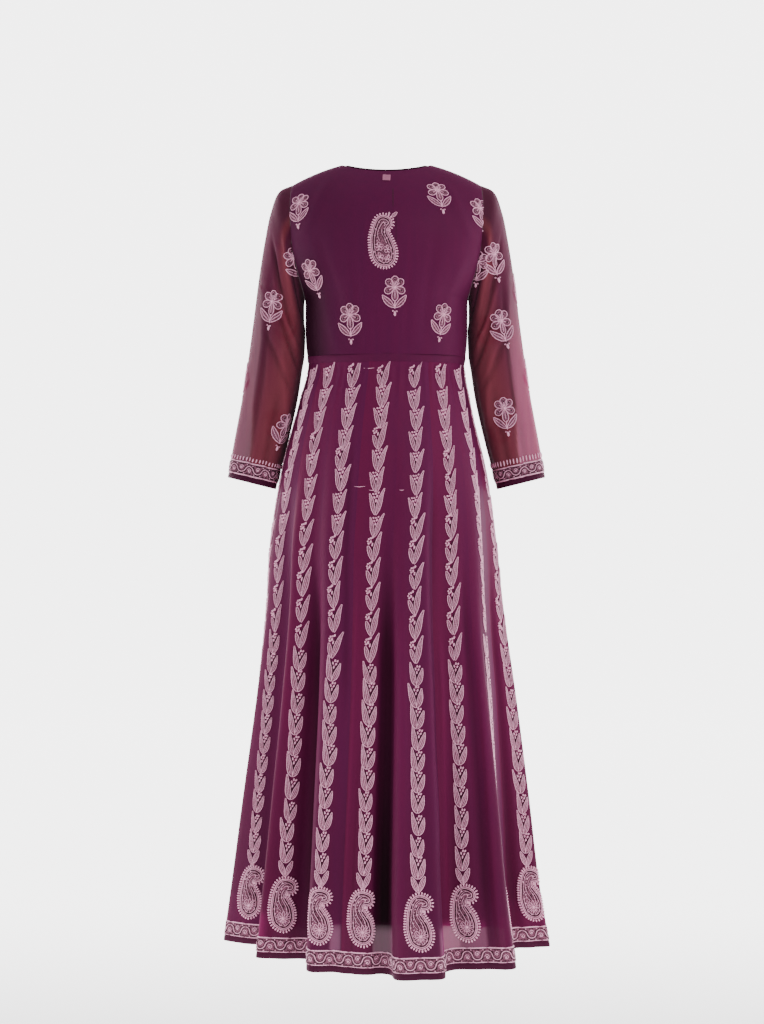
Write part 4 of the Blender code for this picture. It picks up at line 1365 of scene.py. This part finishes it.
def vine(points, steps=13, beside=1.9):
    """A bright stem along a few points in millimetres, with a painted shadow in dark wine thread on each
    side.
    """
    points = np.asarray(points, float)
    works = [stroke(points, steps, width=0.0011, height=0.0015)]
    for side in (-beside, beside):
        shadow = points + (side, -0.3 * side)
        works.append(stroke(shadow, steps, width=0.0013, height=0.0011, kind=WINE_SHADOW))
    return joined(works)


def head_curl(x, y, start, bright, wine, wine_width):
    """The curl that fills a paisley's head: a bright tendril with a dark wine one of painted shadow
    inside it. Each is given by its radius, its turns and its number of steps."""
    (radius, turns, steps), (inner_radius, inner_turns, inner_steps) = bright, wine
    return joined((
        spiral(x, y, radius, turns, start, steps, 0.0015, hand=-1),
        spiral(x, y, inner_radius, inner_turns, start, inner_steps, wine_width, kind=WINE_SHADOW, hand=-1),
    ))


def skirt_paisley():
    """The hem paisley: tendrils sweep up from a heart of petals, and a curl fills the head."""
    works = paisley_body(SKIRT_PAISLEY, *SKIRT_BODY)
    heart = (2.0, 27.0)
    for angle in range(170, -190, -40):
        length = 12.5 + 1.2 * math.cos(math.radians(angle + 100))
        works.append(petal(angle, length, 4.0, heart, hatch=False))
        gap = (ray(angle + 20, 3.5, heart), ray(angle + 20, 12.0, heart))
        works.append(stroke(gap, 4, width=0.0016, height=0.0012, kind=WINE_SHADOW))
    works += [
        knot(*heart, 3.0, 0.0021),
        vine(((3, 36), (-1, 44), (-6, 52), (-9, 61), (-9, 71), (-4, 80), (4, 85.5), (11, 83.5))),
        vine(((7, 38), (6, 44), (1.5, 52), (-3, 60), (-3, 69), (1, 75.5))),
        vine(((-2, 38), (-7, 43), (-11, 50), (-13.5, 59)), beside=1.7),
        vine(((11, 34), (11.5, 40), (8.5, 47), (4.5, 54)), beside=1.6),
        head_curl(9.8, 78.4, 80, (5.0, 1.2, 13), (3.7, 1.0, 10), 0.0014),
    ]
    for x, y in (
        (-12.6, 71), (-9.6, 78.6), (-3.5, 86), (-14, 42), (-3, 62), (2, 63), (9.5, 52), (-4, 76),
        (-12, 34),
    ):
        works.append(knot(x, y, 1.6, 0.0018))
    for x, y, turn in (
        (-14.4, 48, 95), (-6, 57, 115), (0.4, 47, 125), (13.4, 24, 80), (-11.6, 22, 60), (2, 13.4, 0),
    ):
        works.append(knot(x, y, 1.2, 0.0013, stretch=2.4, turn=turn, kind=WINE_SHADOW))
    return joined(works)


def yoke_paisley():
    """The yoke's paisley: four roses and a branch within, and a pointed leaf over the head."""
    works = paisley_body(YOKE_PAISLEY, *YOKE_BODY)
    for x, y, size in ((-7, 22, 1.0), (8, 19, 0.9), (6.5, 36, 0.9), (-8, 40, 1.0)):
        for step in range(5):
            works.append(petal(72 * step + 20 * size, 7.4 * size, 4.4, (x, y), hatch=False))
        works.append(spiral(x, y, 8.6 * size, 0.55, 190, 11, 0.0015, kind=WINE_SHADOW, shrink=1.0))
        works.append(knot(x, y, 2.0, 0.0020))
    works += [
        vine(((-6, 49), (-10, 58), (-9, 68), (-4, 77), (2, 84)), 11),
        vine(((4, 46), (1, 55), (-3, 62), (-3, 70)), 9, beside=1.7),
        head_curl(4.4, 79.4, 60, (4.4, 1.1, 12), (3.1, 0.9, 9), 0.0013),
    ]
    for x, y in ((-15, 58), (-13, 69), (-8, 81), (1, 64), (5.5, 54), (0, 12.6), (-16, 31), (15.5, 28)):
        works.append(knot(x, y, 1.6, 0.0018))
    works.append(blade(((13, 90), (15, 95), (21, 99)), ((14, 89), (19, 92), (23, 98)), steps=6, lines=1))
    works.append(knot(9.0, 96.5, 1.8, 0.0018, stretch=1.5, turn=70))
    return joined(works)


hem_work = skirt_paisley()
paisleys = {}
for number in range(1, KALIS + 1):
    column = (number - 0.5) * KALI_COLUMNS
    work = moved(hem_work, (0.0, PAISLEY_FOOT), turn=PAISLEY_TURN_SPREAD * steady.standard_normal())
    paisleys[number] = worked(f"paisley_{number:02d}", [laid(skirt_chart, column, KALI_ROWS, work)])

# ---- The hem border ------------------------------------------------------------------------------
# 25 mm of dense work between two pairs of lines: a running vine whose bays hold curled tendrils, on a
# ground of net stitch. It runs right round the hem, just above the turning.

BORDER_TOP = 0.0255
BORDER_REPEAT = 0.033
LINE_STEPS = 8
ROWS_UP = 6  # how many rows over the cloth's foot the way round it is measured


def scroll_band(length, foot, head, sway=1.5):
    """One wave of a running vine between two heights, in millimetres, with a curl in each of its bays."""
    middle, swing = (foot + head) / 2, (head - foot) / 2 - 3.1
    wave = np.linspace(0, 1, 25)
    line = np.column_stack((
        length * wave + sway * np.sin(4 * math.pi * wave), middle + swing * np.cos(2 * math.pi * wave)
    ))
    slope = np.gradient(line, axis=0)
    side = np.column_stack((-slope[:, 1], slope[:, 0])) / np.linalg.norm(slope, axis=1)[:, None]
    works = [stem(line * MM, width=0.0017, height=0.0016)]
    for gap in (-1.7, 1.7):
        works.append(stem((line + side * gap) * MM, width=0.0013, height=0.0012, kind=WINE_SHADOW))
    reach = (head - foot) * 0.22
    for share, up in ((0.5, 1), (1.0, -1)):
        x, y = length * share, middle + up * swing * 0.40
        start = 90 - 90 * up
        works.append(spiral(x, y, reach, 1.25, start, 15, 0.0015, hand=up))
        works.append(spiral(x, y, reach * 0.74, 1.05, start, 12, 0.0013, kind=WINE_SHADOW, hand=up))
        works.append(knot(x, y, 1.3, 0.0019))
        for lean in (-1, 1):
            near = (x + lean * (reach + 1.6), y - up * 0.6)
            far = (x + lean * (reach + 4.6), y + up * swing * 0.72)
            works.append(stroke((near, far), 4, width=0.0016, height=0.0013, kind=WINE_SHADOW))
            works.append(knot(x + lean * (reach + 5.6), y + up * swing * 0.95, 1.2, 0.0017))
            bud = (x + lean * 2.6, y + up * (swing * 0.55 + 2.2))
            works.append(knot(*bud, 0.9, 0.0014, stretch=1.8, kind=WINE_SHADOW))
    return works


def straight(length, y):
    """A straight line along a border, at a height, in millimetres."""
    x = np.linspace(0, length, LINE_STEPS)
    return np.column_stack((x, np.full(LINE_STEPS, y))) * MM


def border(length, ground, *lines):
    """Net stitch between two heights, and rows of stitches each given by height, width and thread."""
    foot, head = ground
    works = [filling(straight(length, head), straight(length, foot))]
    for y, width, kind in lines:
        works.append(stem(straight(length, y), width=width * MM, height=0.0014, kind=kind))
    return works


def border_repeat(length, height):
    """One repeat of the hem border, in millimetres."""
    works = border(
        length, (0.6, height - 0.4),
        (0.9, 1.6, BRIGHT), (2.5, 0.9, WINE_SHADOW), (height - 3.6, 0.9, WINE_SHADOW), (height - 1.3, 2.4, BRIGHT),
    )
    return joined(works + scroll_band(length, 2.2, height - 3.4))


def run_round(cloth, row, columns, work, length):
    """A border's repeats laid side by side round a closed cloth: each one's first column and its work."""
    run = cloth["run"][:, row - ROWS_UP]
    for repeat in range(int(round(run[columns] / length))):
        column = float(np.interp(repeat * length, run, np.arange(len(run))))
        column = column + columns if column < 2 else column
        yield column, laid(cloth, column, row, work)


def even_repeat(cloth, row, columns, about):
    """The length near to about that goes into the way round a closed cloth a whole number of times."""
    around = cloth["run"][columns, row - ROWS_UP]
    return around / round(around / about)


hem_length = even_repeat(skirt_chart, KALI_ROWS, KALIS * KALI_COLUMNS, BORDER_REPEAT)
hem_repeat = border_repeat(hem_length * 1000, BORDER_TOP * 1000)
border_works = [[], [], [], []]
for column, work in run_round(skirt_chart, KALI_ROWS, KALIS * KALI_COLUMNS, hem_repeat, hem_length):
    border_works[int((column - 0.5 * KALI_COLUMNS) // (4 * KALI_COLUMNS)) % 4].append(work)
hem_borders = [worked(f"hem_border_{part + 1}", works) for part, works in enumerate(border_works)]


def nearest(cloth, x, z, facing, first=0, columns=None):
    """The column and row of a charted cloth that lie nearest to (x, z) on its back, 1, or front, -1."""
    last = first + columns if columns else len(cloth["points"])
    points, out = cloth["points"][first:last], cloth["out"][first:last]
    away = np.hypot(points[..., 0] - x, points[..., 2] - z) + (out[..., 1] * facing < -0.2)
    column, row = np.unravel_index(np.argmin(away), away.shape)
    return column + first, row


# Loose floats of thread that were left between the garlands: x, z and length
FLOATS = (
    (0.0294, -0.3528, 0.019),
    (0.0452, -0.5545, 0.018),
    (0.0244, -0.5620, 0.012),
    (-0.0250, -0.5580, 0.008),
)
floats = []
for x, z, length in FLOATS:
    place = nearest(skirt_chart, x, z, 1, KALI_COLUMNS, KALIS * KALI_COLUMNS)
    thread = np.array(((-length / 2, 0.0003), (0.0, -0.0004), (length / 2, 0.0005)))
    floats.append(laid(skirt_chart, *place, stem(thread, width=0.0013, height=0.0008)))
thread_floats = worked("thread_floats", floats)

for number in range(1, KALIS + 1):
    work = [garlands[number], paisleys[number]]
    if number % 4 == 2:
        work.append(hem_borders[(number - 2) // 4])
    if number == 4:
        work.append(thread_floats)
    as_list(work)

# ---- Flower sprigs and the yoke's paisley --------------------------------------------------------
# Single flowers of six looped petals on a stem with two leaves, scattered over yoke and sleeves, with one
# paisley between the shoulders. Those that meet a seam are cut by it.

SPRIG_SCALE = 1.09

# The angle and length of five petals; the sixth, narrower one points down the stem
PETALS = ((90, 17.5), (141, 18), (43, 17.5), (206, 18), (-27, 17.5))
LEAF_OUTER = ((0.8, -33), (7.0, -31.5), (13.0, -27), (17.0, -20.5), (18.6, -13))
LEAF_INNER = ((0.8, -31.5), (3.6, -25), (8.0, -19.5), (13.4, -15.5), (18.0, -12.8))


def sprig():
    """A flower, the petal on its stem, two leaves, and a bead on the tail. Its heart is at (0, 0)."""
    works = []
    for angle, length in PETALS:
        works.append(petal(angle, length, 11.4, start=0.10))
        line = (ray(angle, length * 0.52), ray(angle, length * 0.80))
        works.append(stroke(line, 4, width=0.0020, height=0.0012, kind=WINE_SHADOW))
    works.append(petal(270, 22, 10.0, start=0.10))
    for angle in range(15, 375, 36):
        works.append(stroke((ray(angle, 1.5), ray(angle, 6.2)), 3, width=0.0012, height=0.0014))
    works.append(knot(0, 0, 2.6, 0.0021))
    works.append(stroke(((0.4, -20), (0.0, -27), (0.2, -35)), 6, width=0.0020, height=0.0012))
    for hand, reach in ((-1, 1.1), (1, 1.0)):
        outer, inner = ([(hand * x * reach, y) for x, y in edge] for edge in (LEAF_OUTER, LEAF_INNER))
        edges = (outer, inner) if hand < 0 else (inner, outer)
        works.append(blade(*edges, lines=1))
    works.append(knots(
        (0.2, -42.5, 2.2, 0.0019, 2.1, 90), (-3.0, -38.4, 1.3, 0.0016), (3.2, -38.8, 1.3, 0.0016)
    ))
    return joined(works)


# Places (x, z) of the flowers' hearts, their turn in degrees from the cloth's own grain, and their size
BACK_SPRIGS = (
    (-0.087, -0.053, 2, 0.98),
    (0.060, -0.266, 0, 0.98),
    (-0.014, -0.220, 0, 0.95),
    (-0.095, -0.263, -8, 0.94),
    (0.148, -0.070, 7, 0.95),
    (0.130, -0.186, 9, 0.98),
    (-0.158, -0.080, 6, 0.94),
)
FRONT_SPRIGS = (
    (-0.098, -0.098, -6, 0.98),
    (0.102, -0.092, 5, 0.96),
    (0.006, -0.188, 3, 0.98),
    (-0.060, -0.262, -4, 0.96),
    (0.074, -0.258, 8, 0.95),
    (-0.132, -0.186, -9, 0.95),
    (0.130, -0.190, 10, 0.95),
    (-0.150, -0.066, 0, 0.82),
    (0.150, -0.070, 0, 0.82),
)
YOKE_PAISLEY_PLACE = (0.0045, -0.1925)
SLEEVE_SPRIGS = {
    ("left", 1): (
        (0.1935, -0.237, -11, 0.98),
        (0.172, -0.446, -12, 0.96),
        (0.151, -0.161, 24, 0.90),
        (0.2470, -0.354, -14, 0.95),
    ),
    ("left", -1): (
        (0.206, -0.186, -8, 0.95),
        (0.176, -0.262, -6, 0.96),
        (0.196, -0.430, -12, 0.96),
        (0.176, -0.110, 0, 0.94),
    ),
    ("right", 1): (
        (-0.184, -0.156, 13, 0.98),
        (-0.194, -0.269, 17, 0.98),
        (-0.200, -0.420, 8, 0.96),
        (-0.2480, -0.349, 14, 0.95),
        (-0.2280, -0.200, 12, 0.95),
        (-0.151, -0.168, -10, 0.90),
    ),
    ("right", -1): (
        (-0.178, -0.270, 6, 0.96),
        (-0.200, -0.440, 12, 0.96),
        (-0.174, -0.120, 4, 0.94),
    ),
}
sprig_work = sprig()


def scattered(cloth, facing, rows, *columns):
    """Sprigs laid on one side of a cloth, each as its row says."""
    return [
        laid_upright(
            cloth, *nearest(cloth, x, z, facing, *columns),
            moved(sprig_work, turn=turn, size=size * SPRIG_SCALE),
        )
        for x, z, turn, size in rows
    ]


back_chart, front_chart = chart(back_points), chart(front_points)
back_sprigs = worked("yoke_sprigs_back", scattered(back_chart, 1, BACK_SPRIGS))
front_sprigs = worked("yoke_sprigs_front", scattered(front_chart, -1, FRONT_SPRIGS))
paisley_place = nearest(back_chart, *YOKE_PAISLEY_PLACE, 1)
paisley_work = worked("yoke_paisley", [laid_upright(back_chart, *paisley_place, yoke_paisley())])

sleeve_charts = {side: chart(points, closed=True) for side, points in sleeve_points.items()}
sleeve_laid = {"left": [], "right": []}
for (side, facing), rows in SLEEVE_SPRIGS.items():
    sleeve_laid[side] += scattered(sleeve_charts[side], facing, rows, SLEEVE_COLUMNS // 2, SLEEVE_COLUMNS)
sleeve_works = {side: worked(f"sleeve_sprigs_{side}", works) for side, works in sleeve_laid.items()}

# ---- The cuff borders ----------------------------------------------------------------------------
# Each cuff has a band of curls between bright lines, with a row of upright strokes above it, worked
# just over the turning.

CUFF_REPEAT = 0.0290

# The strokes' foot and head, in millimetres over the turning, and their number in a repeat
CUFF_STROKES = {"left": (25.6, 32.0, 5), "right": (26.4, 35.6, 5)}


def cuff_repeat(length, stroke_foot, stroke_head, strokes):
    """One repeat of the cuff border, in millimetres."""
    works = border(
        length, (1.0, 23.4), (1.5, 2.6, BRIGHT), (3.8, 1.0, WINE_SHADOW), (20.4, 1.0, WINE_SHADOW), (22.6, 2.4, BRIGHT)
    )
    works += scroll_band(length, 3.4, 20.4, sway=1.0)
    for number in range(strokes):
        x = length * (number + 0.5) / strokes
        works.append(stroke(((x, stroke_foot), (x + 0.8, stroke_head)), 5, width=0.0023, height=0.0014))
    return joined(works)


for side, cloth in sleeve_charts.items():
    length = even_repeat(cloth, SLEEVE_ROWS, SLEEVE_COLUMNS, CUFF_REPEAT)
    repeat = cuff_repeat(length * 1000, *CUFF_STROKES[side])
    works = [work for _, work in run_round(cloth, SLEEVE_ROWS, SLEEVE_COLUMNS, repeat, length)]
    cuff = worked(f"cuff_border_{side}", works)

# ---- The label and the centre seam ---------------------------------------------------------------
# A small bare satin label, woven edge to edge, sits a little askew under the neck. The yoke's short
# centre seam shows below it as a fine dark line.

LABEL_HALF_WIDTH = 0.0066
LABEL_TOP = -0.0235
LABEL_END = -0.0350
LABEL_LIFT = 0.0013
LABEL_EDGE_LIFT = 0.0006
LABEL_CURL = 0.0004
LABEL_TURN = math.radians(-4)
LABEL_STEPS = 8
SEAM_STEPS = 9
label_middle = (LABEL_TOP + LABEL_END) / 2
label_across = np.linspace(-1, 1, LABEL_STEPS + 1)
aside, below = np.meshgrid(label_across, label_across, indexing="ij")
across, fall = aside * LABEL_HALF_WIDTH, below * (LABEL_TOP - LABEL_END) / 2
side = (across * math.cos(LABEL_TURN) + fall * math.sin(LABEL_TURN)) / SHOULDER_HALF
height = label_middle - (fall * math.cos(LABEL_TURN) - across * math.sin(LABEL_TURN))
down = (height + BACK_NECK_DROP) / (YOKE_END + BACK_NECK_DROP)
lift = np.where(np.maximum(abs(aside), abs(below)) > 0.99, LABEL_EDGE_LIFT, LABEL_LIFT)
lift = lift + LABEL_CURL * np.clip(below, 0, 1) ** 2
label_points = yoke_back_face(side, down) + outward(yoke_back_face, side, down) * lift[..., None]
label_satin = thread_material("label_satin", (0.330, 0.090, 0.175), (0.400, 0.130, 0.230), 1500.0, 0.38)
label = grid_piece("neck_label_satin", label_points, label_satin)
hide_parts("neck_label")

# Where the seam shows, from the top down: x, z and thread width. The last row is its end.
CENTRE_SEAM = ((-0.0132, -0.0493, 0.0012), (-0.0138, -0.0911, 0.0007), (-0.0142, -0.1500, 0.0007))
seam_works = []
for (x, z, width), (_, low, _) in zip(CENTRE_SEAM, CENTRE_SEAM[1:]):
    depth = (z - low) * 0.97
    line = np.column_stack((np.zeros(SEAM_STEPS), -np.linspace(0, depth, SEAM_STEPS)))
    seam = stem(line, width=width, height=0.0003, base=0.0001, kind=WINE_SHADOW)
    seam_works.append(laid(back_chart, *nearest(back_chart, x, z, 1), seam))
centre_seam = worked("centre_seam", seam_works)
